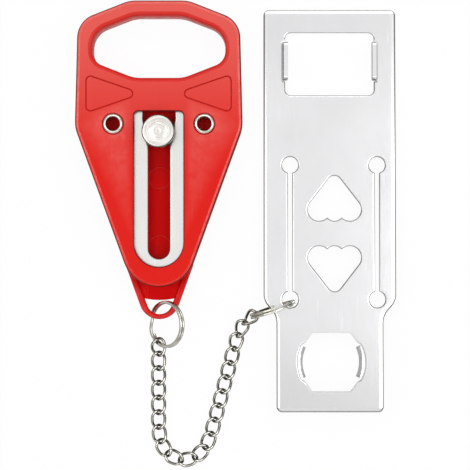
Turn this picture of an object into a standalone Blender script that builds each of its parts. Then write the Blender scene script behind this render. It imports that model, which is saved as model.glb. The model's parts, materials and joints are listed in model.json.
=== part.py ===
"""Portable door lock: a handled body with a sliding knob, chained to a pierced strike plate.

The set lies flat, front faces up. The origin is on the body's flat back, on its centre line,
between the handle opening and the window. +X runs from the body to the strike plate, +Y towards
the handle and +Z out of the front faces. Lengths are in metres, angles in degrees.
"""
import math

import bmesh
import bpy
from mathutils import Matrix, Vector

# Running and seating clearances
SEAT_GAP = 0.0003
WIRE_GAP = 0.00035
CUT_OVERRUN = 0.002
FUSE_DEPTH = 0.0004
ARC_STEP_DEG = 20.0
ROUND_SIDES = 24

# Moulded body, measured from the origin on its back face
BACK_SHELL_DEPTH = 0.0070
FRONT_SHELL_DEPTH = 0.0047
BODY_TOP = 0.0341
BODY_TOP_HALF_WIDTH = 0.0106
BODY_TOP_RADIUS = 0.012
HIP_HALF_WIDTH = 0.0304
HIP_Y = -0.0119
HIP_RADIUS = 0.012
SHOULDER_WIDTH_SHARE = 0.967
SHOULDER_BELOW_TOP = 0.0074
SHOULDER_RADIUS = 0.0090
FRONT_END_BELOW_WINDOW = 0.00735
LOOP_END_BELOW_FRONT = 0.01191
TIP_BELOW_LOOP_END = 0.0137
BODY_EDGE_RADIUS = 0.0013

# Handle opening
GRIP_BAR_HEIGHT = 0.0056
GRIP_BAR_WIDTH = 0.0053
GRIP_BOTTOM = 0.0061
GRIP_FLAT_HALF_WIDTH = 0.0089
GRIP_SLANT_RADIUS = 0.012
GRIP_SLANT_SHARE = 0.2634
GRIP_UPPER_BEND_SHARE = 0.504
GRIP_LOWER_BEND_SHARE = 0.356

# Knob and its travel along the slot
KNOB_START_Y = -0.0135
KNOB_TRAVEL = 0.0425
HEAD_RADIUS = 0.0059
HEAD_HEIGHT = 0.0032
HEAD_CHAMFER = 0.0007
HEAD_GROOVE_WIDTH = 0.0005
HEAD_GROOVE_DEPTH = 0.0002
HEAD_DIMPLE_RADIUS = 0.0016
HEAD_CLEAR_OF_FRONT = 0.0021
NECK_RADIUS = 0.0032
TAIL_RADIUS = 0.0018
TAIL_LENGTH = 0.0018
FLANGE_RADIUS = 0.0055
FLANGE_THICKNESS = 0.0016
FLANGE_SIDE_GAP = 0.0011
FLANGE_UNDER_GAP = 0.0022

# Window in the front shell and the steel guide plate behind it
WINDOW_HALF_WIDTH = 0.0089
WINDOW_TOP_Y = -0.0061
WINDOW_CORNER_RADIUS = 0.0012
WINDOW_EDGE_RADIUS = 0.0003
WINDOW_BELOW_SLOT = 0.0028
GUIDE_THICKNESS = 0.0015
GUIDE_OVERLAP = 0.0015
GUIDE_TOP_Y = -0.0026
GUIDE_EAR_MARGIN = 0.0042
GUIDE_CORNER_RADIUS = 0.0018
SLOT_HALF_WIDTH = 0.00395
SLOT_END_GAP = 0.0003
KEYHOLE_HALF_WIDTH = 0.0059
KEYHOLE_TOP_Y = -0.0050
KEYHOLE_STRAIGHT = 0.0036
KEYHOLE_FUNNEL = 0.0096
KEYHOLE_FUNNEL_RADIUS = 0.0060
KEYHOLE_RADIUS = 0.0012

# Hollow rivets
EYELET_X_SHARE = 0.543
EYELET_Y = -0.0106
EYELET_BARREL_RADIUS = 0.0030
EYELET_WALL = 0.0005
EYELET_FLANGE_RADIUS = 0.00365
EYELET_FLANGE_HEIGHT = 0.0008
EYELET_SINK = 0.0004
EYELET_FLOOR = 0.0030

# Shallow triangular panels on the front
PANEL_DEPTH = 0.0003
PANEL_INNER_X = 0.0061
PANEL_SIDE_MARGIN = 0.0042
PANEL_TOP_Y = 0.0072
PANEL_BOTTOM_Y = -0.0066
PANEL_INNER_Y = 0.0003
PANEL_RADIUS = 0.0016

# Loop at the pointed end: raised rims round a lower floor and the ring's opening
LOOP_BAR_WIDTH = 0.0022
LOOP_END_BAR = 0.0018
LOOP_BOTTOM = 0.0030
LOOP_THICKNESS = 0.0029
LOOP_EDGE_RADIUS = 0.0006
LOOP_FLOOR_LENGTH = 0.00405
LOOP_FLOOR_BOW = 0.0009
LOOP_FLOOR_DEPTH = 0.0010
LOOP_FLOOR_STEP = 0.0002
LOOP_TAB_STEP = 0.0002
LOOP_TAB_ROOT = 0.0080

# Split rings: two turns of flattened wire
RING_OUTER_RADIUS = 0.0086
RING_WIRE_WIDTH = 0.0011
RING_WIRE_THICKNESS = 0.00085
RING_COIL_GAP = 0.0002
RING_WIRE_CORNER = 0.00025
RING_STEPS_PER_TURN = 26
RING_JOG_DEG = 40.0
RING_END_GAP_DEG = 3.0

# Body ring: tilted, hooked under the loop's end
BODY_RING_X = 0.0026
BODY_RING_BELOW_LOOP = 0.0018
BODY_RING_TILT_DEG = 43.4
BODY_RING_JOG_DEG = 185.0
BODY_RING_HOOK_DEG = 238.0

# Curb chain
LINK_COUNT = 21
LINK_PITCH = 0.0054
LINK_WIRE_DIAMETER = 0.0010
LINK_OUTER_WIDTH = 0.0056
LINK_TWIST_DEG = 90.0
LINK_STEPS = 18
LINK_SIDES = 8

# Run of the chain: headings are from straight down, turning towards the strike plate
DOWN_RUN_DEG = 0.0
UP_RUN_DEG = 165.0
TURN_STARTS_SHARE = 0.26
TURN_ENDS_SHARE = 0.59
LEAVING_SLOPES_DEG = (-20.0, -8.0)
ARRIVING_SLOPES_DEG = (10.0, 16.0, 20.0)
ARRIVING_TURNS_DEG = (0.0, -12.0, -36.0)
ARRIVING_ROLLS_DEG = (-15.0, -30.0, -45.0)

# Hooks of the chain's ends over the rings' double coils
HOOK_GAP = 0.0004

# Plate ring: stands on edge through the plate's lower left slot end
PLATE_RING_HEADING_DEG = 108.2
PLATE_RING_HOOK_DEG = 200.0
PLATE_RING_JOG_DEG = 60.0
RING_IN_HOLE_X = 0.0006
RING_IN_HOLE_Y = -0.0012

# Strike plate, measured from its lower edge and its centre line
PLATE_THICKNESS = 0.0015
PLATE_LENGTH = 0.1474
PLATE_HALF_WIDTH = 0.0242
PLATE_CORNER_RADIUS = 0.0020
PLATE_EDGE_ROUND = 0.0003
NECK_WIDTH_SHARE = 0.805785124
NECK_LENGTH_SHARE = 0.2388
SHOULDER_LENGTH = 0.0052
SHOULDER_BEND_RADIUS = 0.0030
PIERCING_OFFSET_X = 0.0014
PIERCING_CENTRE_SHARE = 0.4457

# Long slots with round ends
LONG_SLOT_SPACING_SHARE = 0.657024793
LONG_SLOT_LENGTH_SHARE = 0.3338
LONG_SLOT_HALF_WIDTH = 0.00085
LONG_SLOT_END_RADIUS = 0.0030

# Heart openings, measured from the point midway between the two
HEART_OFFSET_X = 0.0003
HEART_OFFSET_Y = -0.0005
HEART_APEX_Y = 0.0212
HEART_APEX_RADIUS = 0.0027
HEART_LOBE_X = 0.0056
HEART_LOBE_Y = 0.0088
HEART_LOBE_RADIUS = 0.0042
HEART_SCALLOP_Y = 0.0080
HEART_SCALLOP_RADIUS = 0.0034

# Claws: bent up from the plate by its window, and down by its round opening
CLAW_DROP = 0.0050
CLAW_BEND_INSIDE_RADIUS = 0.0003
CLAW_TIP_CHAMFER = 0.0012
CLAW_RELIEF = 0.0004
CLAW_STEP = 0.00003
WINDOW_OPENING_HALF_WIDTH = 0.0163
WINDOW_OPENING_HEIGHT = 0.0232
WINDOW_OPENING_BELOW_TOP = 0.00835
WINDOW_OPENING_RADIUS = 0.0022
WINDOW_CLAW_BELOW_TOP = 0.0108
WINDOW_CLAW_HALF_LENGTH = 0.0068
WINDOW_CLAW_ROOT_X = 0.0172
ROUND_OPENING_X = 0.0005
ROUND_OPENING_Y = 0.0182
ROUND_OPENING_HALF_HEIGHT = 0.0107
ROUND_OPENING_FLAT = 0.0069
ROUND_OPENING_SHOULDER_X = 0.0096
ROUND_OPENING_SHOULDER_Y = 0.0071
ROUND_CLAW_ROOT_X = 0.0123
ROUND_CLAW_ROOT_RADIUS = 0.0140
ROUND_CLAW_HALF_LENGTH = 0.0061

# Heights and places that follow from the sizes above
SHOULDER_HALF_WIDTH = HIP_HALF_WIDTH * SHOULDER_WIDTH_SHARE
SHOULDER_Y = BODY_TOP - SHOULDER_BELOW_TOP
GRIP_TOP = BODY_TOP - GRIP_BAR_HEIGHT
GRIP_HALF_WIDTH = SHOULDER_HALF_WIDTH - GRIP_BAR_WIDTH
EYELET_X = HIP_HALF_WIDTH * EYELET_X_SHARE
PANEL_OUTER_X = HIP_HALF_WIDTH - PANEL_SIDE_MARGIN
FRONT_SHELL_BOTTOM = BACK_SHELL_DEPTH + SEAT_GAP
BODY_FRONT = FRONT_SHELL_BOTTOM + FRONT_SHELL_DEPTH
GUIDE_BOTTOM = BACK_SHELL_DEPTH + SEAT_GAP
GUIDE_TOP = GUIDE_BOTTOM + GUIDE_THICKNESS
FLANGE_TOP = GUIDE_BOTTOM - SEAT_GAP
FLANGE_BOTTOM = FLANGE_TOP - FLANGE_THICKNESS
CAVITY_FLOOR = FLANGE_BOTTOM - FLANGE_UNDER_GAP
HEAD_BOTTOM = BODY_FRONT + HEAD_CLEAR_OF_FRONT
HEAD_TOP = HEAD_BOTTOM + HEAD_HEIGHT
SLOT_END_Y = KNOB_START_Y - KNOB_TRAVEL - NECK_RADIUS - SLOT_END_GAP
SLOT_END_CENTRE_Y = SLOT_END_Y + SLOT_HALF_WIDTH
WINDOW_END_Y = SLOT_END_Y - WINDOW_BELOW_SLOT
WINDOW_END_CENTRE_Y = WINDOW_END_Y + WINDOW_HALF_WIDTH
FRONT_END_Y = WINDOW_END_Y - FRONT_END_BELOW_WINDOW
LOOP_END_Y = FRONT_END_Y - LOOP_END_BELOW_FRONT
TIP_Y = LOOP_END_Y - TIP_BELOW_LOOP_END
TAPER = math.atan2(HIP_HALF_WIDTH, HIP_Y - TIP_Y)
KNOB_HIGHEST_Y = WINDOW_TOP_Y - NECK_RADIUS - SEAT_GAP
LOOP_TOP = LOOP_BOTTOM + LOOP_THICKNESS
RING_WIRE_RADIUS = RING_OUTER_RADIUS - RING_WIRE_WIDTH / 2
RING_DEPTH = 2 * RING_WIRE_THICKNESS + RING_COIL_GAP
LINK_LENGTH = LINK_PITCH + WIRE_GAP + LINK_WIRE_DIAMETER
LINK_WIDTH = LINK_OUTER_WIDTH - LINK_WIRE_DIAMETER
PLATE_BOTTOM = CLAW_DROP
PLATE_TOP = PLATE_BOTTOM + PLATE_THICKNESS
NECK_HALF_WIDTH = PLATE_HALF_WIDTH * NECK_WIDTH_SHARE
NECK_LENGTH = PLATE_LENGTH * NECK_LENGTH_SHARE
PIERCING_CENTRE_Y = PLATE_LENGTH * PIERCING_CENTRE_SHARE
LONG_SLOT_SPACING = 2 * PLATE_HALF_WIDTH * LONG_SLOT_SPACING_SHARE
LONG_SLOT_LENGTH = PLATE_LENGTH * LONG_SLOT_LENGTH_SHARE
WINDOW_OPENING_TOP = PLATE_LENGTH - WINDOW_OPENING_BELOW_TOP
WINDOW_OPENING_BOTTOM = WINDOW_OPENING_TOP - WINDOW_OPENING_HEIGHT
WINDOW_CLAW_Y = WINDOW_OPENING_TOP - WINDOW_CLAW_BELOW_TOP
SIDES = (("left", -1), ("right", 1))

# Finishes: colour, metallic, roughness
PLASTIC = ((0.80, 0.035, 0.022), 0.0, 0.35)
PLATE_STEEL = ((0.78, 0.78, 0.79), 1.0, 0.22)
TURNED_STEEL = ((0.72, 0.72, 0.73), 1.0, 0.28)
NICKEL_WIRE = ((0.66, 0.66, 0.64), 1.0, 0.25)


def clear_scene():
    """Removes every object, so that the script can be run again in an open file."""
    for item in list(bpy.data.objects):
        bpy.data.objects.remove(item, do_unlink=True)


def material_of(name, finish):
    """A Principled material from a finish (colour, metallic, roughness)."""
    colour, metallic, roughness = finish
    material = bpy.data.materials.new(name)
    material.use_nodes = True
    shader = material.node_tree.nodes["Principled BSDF"]
    shader.inputs["Base Color"].default_value = (*colour, 1.0)
    shader.inputs["Metallic"].default_value = metallic
    shader.inputs["Roughness"].default_value = roughness
    return material


def place(name, bm, finish=None, origin=(0.0, 0.0, 0.0)):
    """Turns world-space bmesh geometry into an object whose origin is at a given point."""
    bmesh.ops.recalc_face_normals(bm, faces=bm.faces)
    bmesh.ops.translate(bm, verts=bm.verts, vec=-Vector(origin))
    mesh = bpy.data.meshes.new(name)
    bm.to_mesh(mesh)
    bm.free()
    if finish is not None:
        mesh.materials.append(material_of(name, finish))
    item = bpy.data.objects.new(name, mesh)
    item.location = origin
    bpy.context.scene.collection.objects.link(item)
    return item


def smooth(item, angle_deg=35.0):
    """Shades a round piece smooth, with its sharp edges kept."""
    item.data.shade_smooth()
    item.data.set_sharp_from_angle(angle=math.radians(angle_deg))
    return item


def as_tool(item):
    """Hides an object that only cuts or joins another one."""
    item.hide_render = True
    item.display_type = "WIRE"
    return item


def combine(item, tool, operation):
    """Adds an exact Boolean of a hidden tool to an object."""
    boolean = item.modifiers.new(tool.name, "BOOLEAN")
    boolean.operation = operation
    boolean.solver = "EXACT"
    boolean.object = as_tool(tool)


def mirrored(right_half):
    """Adds the mirror image of an outline's right half, given from its top to its bottom."""
    left_half = [(-corner[0], *corner[1:]) for corner in reversed(right_half) if corner[0] != 0]
    return right_half + left_half


def rounded(corners):
    """Outline through corners (x, y, radius), with each corner rounded by an arc."""
    points = []
    count = len(corners)
    for index, (x, y, radius) in enumerate(corners):
        corner = Vector((x, y))
        before = (Vector(corners[index - 1][:2]) - corner).normalized()
        after = (Vector(corners[(index + 1) % count][:2]) - corner).normalized()
        turn = math.pi - before.angle(after)
        if radius == 0 or turn < math.radians(1.0):
            points.append(corner)
            continue
        bisector = (before + after).normalized()
        centre = corner + bisector * (radius / math.cos(turn / 2))
        start = corner + before * (radius * math.tan(turn / 2)) - centre
        side = 1.0 if before.x * after.y - before.y * after.x < 0 else -1.0
        steps = max(2, math.ceil(math.degrees(turn) / ARC_STEP_DEG))
        for step in range(steps + 1):
            angle = side * turn * step / steps
            points.append(centre + Matrix.Rotation(angle, 2) @ start)
    return points


def arc(centre_x, centre_y, radius, from_deg, to_deg):
    """Points on an arc, both ends included."""
    steps = max(2, math.ceil(abs(to_deg - from_deg) / ARC_STEP_DEG))
    angles = [math.radians(from_deg + (to_deg - from_deg) * step / steps)
              for step in range(steps + 1)]
    return [Vector((centre_x + radius * math.cos(a), centre_y + radius * math.sin(a)))
            for a in angles]


def circle(centre_x, centre_y, radius, sides=ROUND_SIDES):
    """A round outline."""
    angles = [2 * math.pi * side / sides for side in range(sides)]
    return [Vector((centre_x + radius * math.cos(a), centre_y + radius * math.sin(a)))
            for a in angles]


def counter_clockwise(points):
    """The same outline, running counter-clockwise."""
    area = sum(a.x * b.y - b.x * a.y for a, b in zip(points, points[1:] + points[:1]))
    return points if area > 0 else list(reversed(points))


def grown(points, amount):
    """Moves a counter-clockwise outline outwards by an amount, corner by corner."""
    moved = []
    count = len(points)
    for index, point in enumerate(points):
        arriving = (point - points[index - 1]).normalized()
        leaving = (points[(index + 1) % count] - point).normalized()
        normal = Vector((arriving.y + leaving.y, -arriving.x - leaving.x)).normalized()
        stretch = max(normal.dot(Vector((leaving.y, -leaving.x))), math.cos(math.radians(60)))
        moved.append(point + normal * (amount / stretch))
    return moved


def rim(bm, points, levels, is_hole=False):
    """Walls of one outline through levels (z, inset), and its first and last loop of edges."""
    points = counter_clockwise(points)
    loops = []
    for z, inset in levels:
        outline = grown(points, inset if is_hole else -inset)
        loops.append([bm.verts.new((p.x, p.y, z)) for p in outline])
    for low, high in zip(loops, loops[1:]):
        for index in range(len(low)):
            following = (index + 1) % len(low)
            bm.faces.new((low[index], low[following], high[following], high[index]))
    ends = []
    for loop in (loops[0], loops[-1]):
        ends.append([bm.edges.get((loop[i - 1], loop[i])) for i in range(len(loop))])
    return ends


def slab(rims):
    """A flat solid from its outer rim and its holes, each as (points, levels)."""
    bm = bmesh.new()
    lower = []
    upper = []
    for index, (points, levels) in enumerate(rims):
        first, last = rim(bm, points, levels, is_hole=index > 0)
        lower += first
        upper += last
    bmesh.ops.triangle_fill(bm, edges=lower, use_beauty=True, normal=(0.0, 0.0, -1.0))
    bmesh.ops.triangle_fill(bm, edges=upper, use_beauty=True, normal=(0.0, 0.0, 1.0))
    return bm


def square(low, high):
    """Levels of a wall with sharp rims."""
    return [(low, 0.0), (high, 0.0)]


def rounded_above(low, high, radius):
    """Levels of a wall whose upper rim is rounded."""
    corner = radius * (1 - math.sqrt(0.5))
    return [(low, 0.0), (high - radius, 0.0), (high - corner, corner), (high, radius)]


def rounded_below(low, high, radius):
    """Levels of a wall whose lower rim is rounded."""
    corner = radius * (1 - math.sqrt(0.5))
    return [(low, radius), (low + corner, corner), (low + radius, 0.0), (high, 0.0)]


def chamfered(low, high, size):
    """Levels of a wall with a small chamfer on both rims."""
    return [(low, size), (low + size, 0.0), (high - size, 0.0), (high, size)]


def turned(profile, centre, sides=ROUND_SIDES):
    """Solid of revolution about an upright axis; the profile is (radius, z) from top to bottom."""
    bm = bmesh.new()
    rings = []
    for radius, z in profile:
        if radius == 0:
            rings.append([bm.verts.new((centre[0], centre[1], z))])
            continue
        rings.append([bm.verts.new((centre[0] + p.x, centre[1] + p.y, z))
                      for p in circle(0.0, 0.0, radius, sides)])
    closed = profile[0][0] != 0
    pairs = zip(rings, rings[1:] + rings[:1]) if closed else zip(rings, rings[1:])
    for upper, lower in pairs:
        for side in range(sides):
            following = (side + 1) % sides
            corners = [upper[side % len(upper)], lower[side % len(lower)],
                       lower[following % len(lower)], upper[following % len(upper)]]
            bm.faces.new(list(dict.fromkeys(corners)))
    return bm


def swept(stations, section, closed):
    """Solid of a section carried along stations (point, across, up)."""
    bm = bmesh.new()
    loops = [[bm.verts.new(point + across * u + up * v) for u, v in section]
             for point, across, up in stations]
    pairs = list(zip(loops, loops[1:]))
    if closed:
        pairs.append((loops[-1], loops[0]))
    for first, second in pairs:
        for index in range(len(section)):
            following = (index + 1) % len(section)
            bm.faces.new((first[index], first[following], second[following], second[index]))
    if not closed:
        bm.faces.new(loops[0])
        bm.faces.new(loops[-1])
    return bm


def end_radius(tip_y, end_y):
    """Radius that makes tapered sides which would meet at a tip stop at a height."""
    return (end_y - tip_y) * math.sin(TAPER) / (1 - math.sin(TAPER))


def body_outline():
    """Outline of the moulded body."""
    return rounded(mirrored([
        (BODY_TOP_HALF_WIDTH, BODY_TOP, BODY_TOP_RADIUS),
        (SHOULDER_HALF_WIDTH, SHOULDER_Y, SHOULDER_RADIUS),
        (HIP_HALF_WIDTH, HIP_Y, HIP_RADIUS),
        (0.0, TIP_Y, end_radius(TIP_Y, FRONT_END_Y)),
    ]))


def taper_half_width(y):
    """Half the body's width at a height on its tapered sides."""
    return HIP_HALF_WIDTH - (HIP_Y - y) * math.tan(TAPER)


def wedge_outline(root_y, inset, end_y):
    """The tapered sides below a height, moved in, with a round lower end."""
    half_width = taper_half_width(root_y) - inset / math.cos(TAPER)
    tip_y = root_y - half_width / math.tan(TAPER)
    return rounded(mirrored([(half_width, root_y, 0.0), (0.0, tip_y, end_radius(tip_y, end_y))]))


def grip_outline():
    """Outline of the handle opening; each side's bends take up a share of its height."""
    height = GRIP_TOP - GRIP_BOTTOM
    slant = height * GRIP_SLANT_SHARE
    side = height - 2 * slant
    slant_angle = math.atan2(slant, GRIP_HALF_WIDTH - GRIP_FLAT_HALF_WIDTH)
    half_turn = (math.pi / 2 - slant_angle) / 2
    return rounded(mirrored([
        (GRIP_FLAT_HALF_WIDTH, GRIP_TOP, GRIP_SLANT_RADIUS),
        (GRIP_HALF_WIDTH, GRIP_TOP - slant, side * GRIP_UPPER_BEND_SHARE / math.tan(half_turn)),
        (GRIP_HALF_WIDTH, GRIP_BOTTOM + slant, side * GRIP_LOWER_BEND_SHARE / math.tan(half_turn)),
        (GRIP_FLAT_HALF_WIDTH, GRIP_BOTTOM, GRIP_SLANT_RADIUS),
    ]))


def long_outline(half_width, top_y, end_centre_y, corner_radius):
    """A U-shaped outline: square above, with a round lower end."""
    top_left = (-half_width, top_y, corner_radius)
    top_right = (half_width, top_y, corner_radius)
    corners = rounded([top_left, (-half_width, end_centre_y, 0.0),
                       (half_width, end_centre_y, 0.0), top_right])
    upper_left = [p for p in corners if p.y > end_centre_y and p.x < 0]
    upper_right = [p for p in corners if p.y > end_centre_y and p.x > 0]
    return upper_left + arc(0.0, end_centre_y, half_width, 180.0, 360.0) + upper_right


def loop_floor_outline():
    """Outline of the loop's floor: its sides lie in the rims, and its lower edge is bowed."""
    root_y = FRONT_END_Y + LOOP_TAB_ROOT
    lower_y = FRONT_END_Y - LOOP_FLOOR_LENGTH
    inset = LOOP_BAR_WIDTH / 2 / math.cos(TAPER)
    upper = taper_half_width(root_y) - inset
    lower = taper_half_width(lower_y) - inset
    radius = (lower ** 2 + LOOP_FLOOR_BOW ** 2) / (2 * LOOP_FLOOR_BOW)
    spread = math.degrees(math.asin(lower / radius))
    centre_y = lower_y - LOOP_FLOOR_BOW + radius
    return ([Vector((-upper, root_y))] + arc(0.0, centre_y, radius, 270.0 - spread, 270.0 + spread)
            + [Vector((upper, root_y))])


def panel_outline(side):
    """Outline of one triangular panel; side is -1 on the left and 1 on the right."""
    return rounded([
        (side * PANEL_INNER_X, PANEL_INNER_Y, PANEL_RADIUS),
        (side * PANEL_OUTER_X, PANEL_TOP_Y, PANEL_RADIUS),
        (side * PANEL_OUTER_X, PANEL_BOTTOM_Y, PANEL_RADIUS),
    ])


def cavity_outline():
    """Outline of the channel behind the guide plate, where the knob's flange runs."""
    half_width = FLANGE_RADIUS + FLANGE_SIDE_GAP
    lowest = KNOB_START_Y - KNOB_TRAVEL
    return (arc(0.0, KNOB_HIGHEST_Y, half_width, 0.0, 180.0)
            + arc(0.0, lowest, half_width, 180.0, 360.0))


def guide_outline(clearance=0.0):
    """Outline of the guide plate: ears for the rivets above a long strip with a round end."""
    ear_half_width = EYELET_X + GUIDE_EAR_MARGIN
    ear_bottom = EYELET_Y - GUIDE_EAR_MARGIN
    strip = WINDOW_HALF_WIDTH + GUIDE_OVERLAP
    upper = rounded([
        (strip, WINDOW_END_CENTRE_Y, 0.0),
        (strip, ear_bottom, GUIDE_CORNER_RADIUS),
        (ear_half_width, ear_bottom, GUIDE_CORNER_RADIUS),
        (ear_half_width, GUIDE_TOP_Y, GUIDE_CORNER_RADIUS),
        (-ear_half_width, GUIDE_TOP_Y, GUIDE_CORNER_RADIUS),
        (-ear_half_width, ear_bottom, GUIDE_CORNER_RADIUS),
        (-strip, ear_bottom, GUIDE_CORNER_RADIUS),
        (-strip, WINDOW_END_CENTRE_Y, 0.0),
    ])
    outline = upper[1:-1] + arc(0.0, WINDOW_END_CENTRE_Y, strip, 180.0, 360.0)
    return grown(counter_clockwise(outline), clearance)


def keyhole_outline():
    """The slot: wide above, where the neck goes in, and funnelled to the running width."""
    straight_end = KEYHOLE_TOP_Y - KEYHOLE_STRAIGHT
    funnel_end = straight_end - KEYHOLE_FUNNEL
    upper = rounded([
        (SLOT_HALF_WIDTH, SLOT_END_CENTRE_Y, 0.0),
        (SLOT_HALF_WIDTH, funnel_end, KEYHOLE_FUNNEL_RADIUS),
        (KEYHOLE_HALF_WIDTH, straight_end, KEYHOLE_RADIUS),
        (KEYHOLE_HALF_WIDTH, KEYHOLE_TOP_Y, KEYHOLE_RADIUS),
        (-KEYHOLE_HALF_WIDTH, KEYHOLE_TOP_Y, KEYHOLE_RADIUS),
        (-KEYHOLE_HALF_WIDTH, straight_end, KEYHOLE_RADIUS),
        (-SLOT_HALF_WIDTH, funnel_end, KEYHOLE_FUNNEL_RADIUS),
        (-SLOT_HALF_WIDTH, SLOT_END_CENTRE_Y, 0.0),
    ])
    return upper[1:-1] + arc(0.0, SLOT_END_CENTRE_Y, SLOT_HALF_WIDTH, 180.0, 360.0)


def eyelet_cutters(name, low, high):
    """Two round cutters for the rivets' barrels."""
    cutters = []
    for side, sign in SIDES:
        bore = circle(sign * EYELET_X, EYELET_Y, EYELET_BARREL_RADIUS + SEAT_GAP)
        cutters.append(place(f"{name}_{side}", slab([(bore, square(low, high))])))
    return cutters


def build_back_shell():
    """Back shell: rounded tray with the flange's channel, blind rivet holes and the loop."""
    edge = rounded_below(0.0, BACK_SHELL_DEPTH, BODY_EDGE_RADIUS)
    shell = place("back_shell", slab([(body_outline(), edge), (grip_outline(), edge)]), PLASTIC)
    rim_edge = chamfered(LOOP_BOTTOM, LOOP_TOP, LOOP_EDGE_RADIUS)
    outer = wedge_outline(FRONT_END_Y + LOOP_TAB_ROOT, -LOOP_TAB_STEP, LOOP_END_Y)
    inner = wedge_outline(FRONT_END_Y + LOOP_TAB_ROOT / 2, LOOP_BAR_WIDTH,
                          LOOP_END_Y + LOOP_END_BAR)
    combine(shell, place("loop_rims", slab([(outer, rim_edge), (inner, rim_edge)])), "UNION")
    floor_level = square(LOOP_BOTTOM + LOOP_FLOOR_STEP, LOOP_TOP - LOOP_FLOOR_DEPTH)
    combine(shell, place("loop_floor", slab([(loop_floor_outline(), floor_level)])), "UNION")
    above = BACK_SHELL_DEPTH + CUT_OVERRUN
    channel = place("channel", slab([(cavity_outline(), square(CAVITY_FLOOR, above))]))
    combine(shell, channel, "DIFFERENCE")
    for cutter in eyelet_cutters("back_bore", EYELET_FLOOR, above):
        combine(shell, cutter, "DIFFERENCE")


def build_front_shell():
    """Front shell: window, guide plate pocket, rivet holes and the two shallow panels."""
    edge = rounded_above(FRONT_SHELL_BOTTOM, BODY_FRONT, BODY_EDGE_RADIUS)
    window_edge = rounded_above(FRONT_SHELL_BOTTOM, BODY_FRONT, WINDOW_EDGE_RADIUS)
    window = long_outline(WINDOW_HALF_WIDTH, WINDOW_TOP_Y, WINDOW_END_CENTRE_Y,
                          WINDOW_CORNER_RADIUS)
    shell = place("front_shell", slab([(body_outline(), edge), (grip_outline(), edge),
                                       (window, window_edge)]), PLASTIC)
    below = FRONT_SHELL_BOTTOM - CUT_OVERRUN
    above = BODY_FRONT + CUT_OVERRUN
    pocket_level = square(below, GUIDE_TOP + SEAT_GAP)
    pocket = place("pocket", slab([(guide_outline(SEAT_GAP), pocket_level)]))
    combine(shell, pocket, "DIFFERENCE")
    for cutter in eyelet_cutters("front_bore", below, above):
        combine(shell, cutter, "DIFFERENCE")
    seat_level = square(BODY_FRONT - EYELET_SINK - SEAT_GAP, above)
    panel_level = square(BODY_FRONT - PANEL_DEPTH, above)
    for side, sign in SIDES:
        rim_seat = circle(sign * EYELET_X, EYELET_Y, EYELET_FLANGE_RADIUS + SEAT_GAP)
        combine(shell, place(f"rivet_seat_{side}", slab([(rim_seat, seat_level)])), "DIFFERENCE")
        panel = place(f"panel_{side}", slab([(panel_outline(sign), panel_level)]))
        combine(shell, panel, "DIFFERENCE")


def build_guide_plate():
    """Flat steel plate with the keyhole slot, held by the two rivets."""
    level = square(GUIDE_BOTTOM, GUIDE_TOP)
    outlines = [guide_outline(), keyhole_outline()]
    for _, sign in SIDES:
        outlines.append(circle(sign * EYELET_X, EYELET_Y, EYELET_BARREL_RADIUS + SEAT_GAP))
    place("guide_plate", slab([(outline, level) for outline in outlines]), PLATE_STEEL)


def build_eyelet(name, sign):
    """Hollow rivet with a rolled flange, closed by the back shell below."""
    bore = EYELET_BARREL_RADIUS - EYELET_WALL
    seat = BODY_FRONT - EYELET_SINK
    top = seat + EYELET_FLANGE_HEIGHT
    roll = EYELET_FLANGE_HEIGHT / 2
    foot = EYELET_FLOOR + SEAT_GAP
    profile = [
        (bore + roll / 2, top), (EYELET_FLANGE_RADIUS - roll, top),
        (EYELET_FLANGE_RADIUS, top - roll), (EYELET_FLANGE_RADIUS, seat),
        (EYELET_BARREL_RADIUS, seat), (EYELET_BARREL_RADIUS, foot), (bore, foot),
        (bore, top - roll),
    ]
    smooth(place(name, turned(profile, (sign * EYELET_X, EYELET_Y)), TURNED_STEEL))


def build_knob():
    """Turned head above the window, and the stud that carries it through the slot."""
    centre = (0.0, KNOB_START_Y)
    origin = (0.0, KNOB_START_Y, GUIDE_TOP)
    face = HEAD_RADIUS - HEAD_CHAMFER
    bore_top = HEAD_BOTTOM + TAIL_LENGTH + SEAT_GAP
    bore = TAIL_RADIUS + SEAT_GAP
    groove_out = (face + HEAD_DIMPLE_RADIUS) / 2 + HEAD_GROOVE_WIDTH
    groove_in = groove_out - HEAD_GROOVE_WIDTH
    groove_floor = HEAD_TOP - HEAD_GROOVE_DEPTH
    head = [
        (0.0, groove_floor), (HEAD_DIMPLE_RADIUS, groove_floor),
        (HEAD_DIMPLE_RADIUS + HEAD_GROOVE_DEPTH, HEAD_TOP), (groove_in - HEAD_GROOVE_DEPTH, HEAD_TOP),
        (groove_in, groove_floor), (groove_out, groove_floor),
        (groove_out + HEAD_GROOVE_DEPTH, HEAD_TOP), (face, HEAD_TOP),
        (HEAD_RADIUS, HEAD_TOP - HEAD_CHAMFER), (HEAD_RADIUS, HEAD_BOTTOM + HEAD_GROOVE_DEPTH),
        (HEAD_RADIUS - HEAD_GROOVE_DEPTH, HEAD_BOTTOM), (bore, HEAD_BOTTOM), (bore, bore_top),
        (0.0, bore_top),
    ]
    shoulder = HEAD_BOTTOM - SEAT_GAP
    tail = HEAD_BOTTOM + TAIL_LENGTH
    stud = [
        (0.0, tail), (TAIL_RADIUS, tail), (TAIL_RADIUS, shoulder), (NECK_RADIUS, shoulder),
        (NECK_RADIUS, FLANGE_TOP), (FLANGE_RADIUS, FLANGE_TOP), (FLANGE_RADIUS, FLANGE_BOTTOM),
        (0.0, FLANGE_BOTTOM),
    ]
    smooth(place("knob_head", turned(head, centre), TURNED_STEEL, origin))
    smooth(place("knob_stud", turned(stud, centre), TURNED_STEEL, origin))


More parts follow.
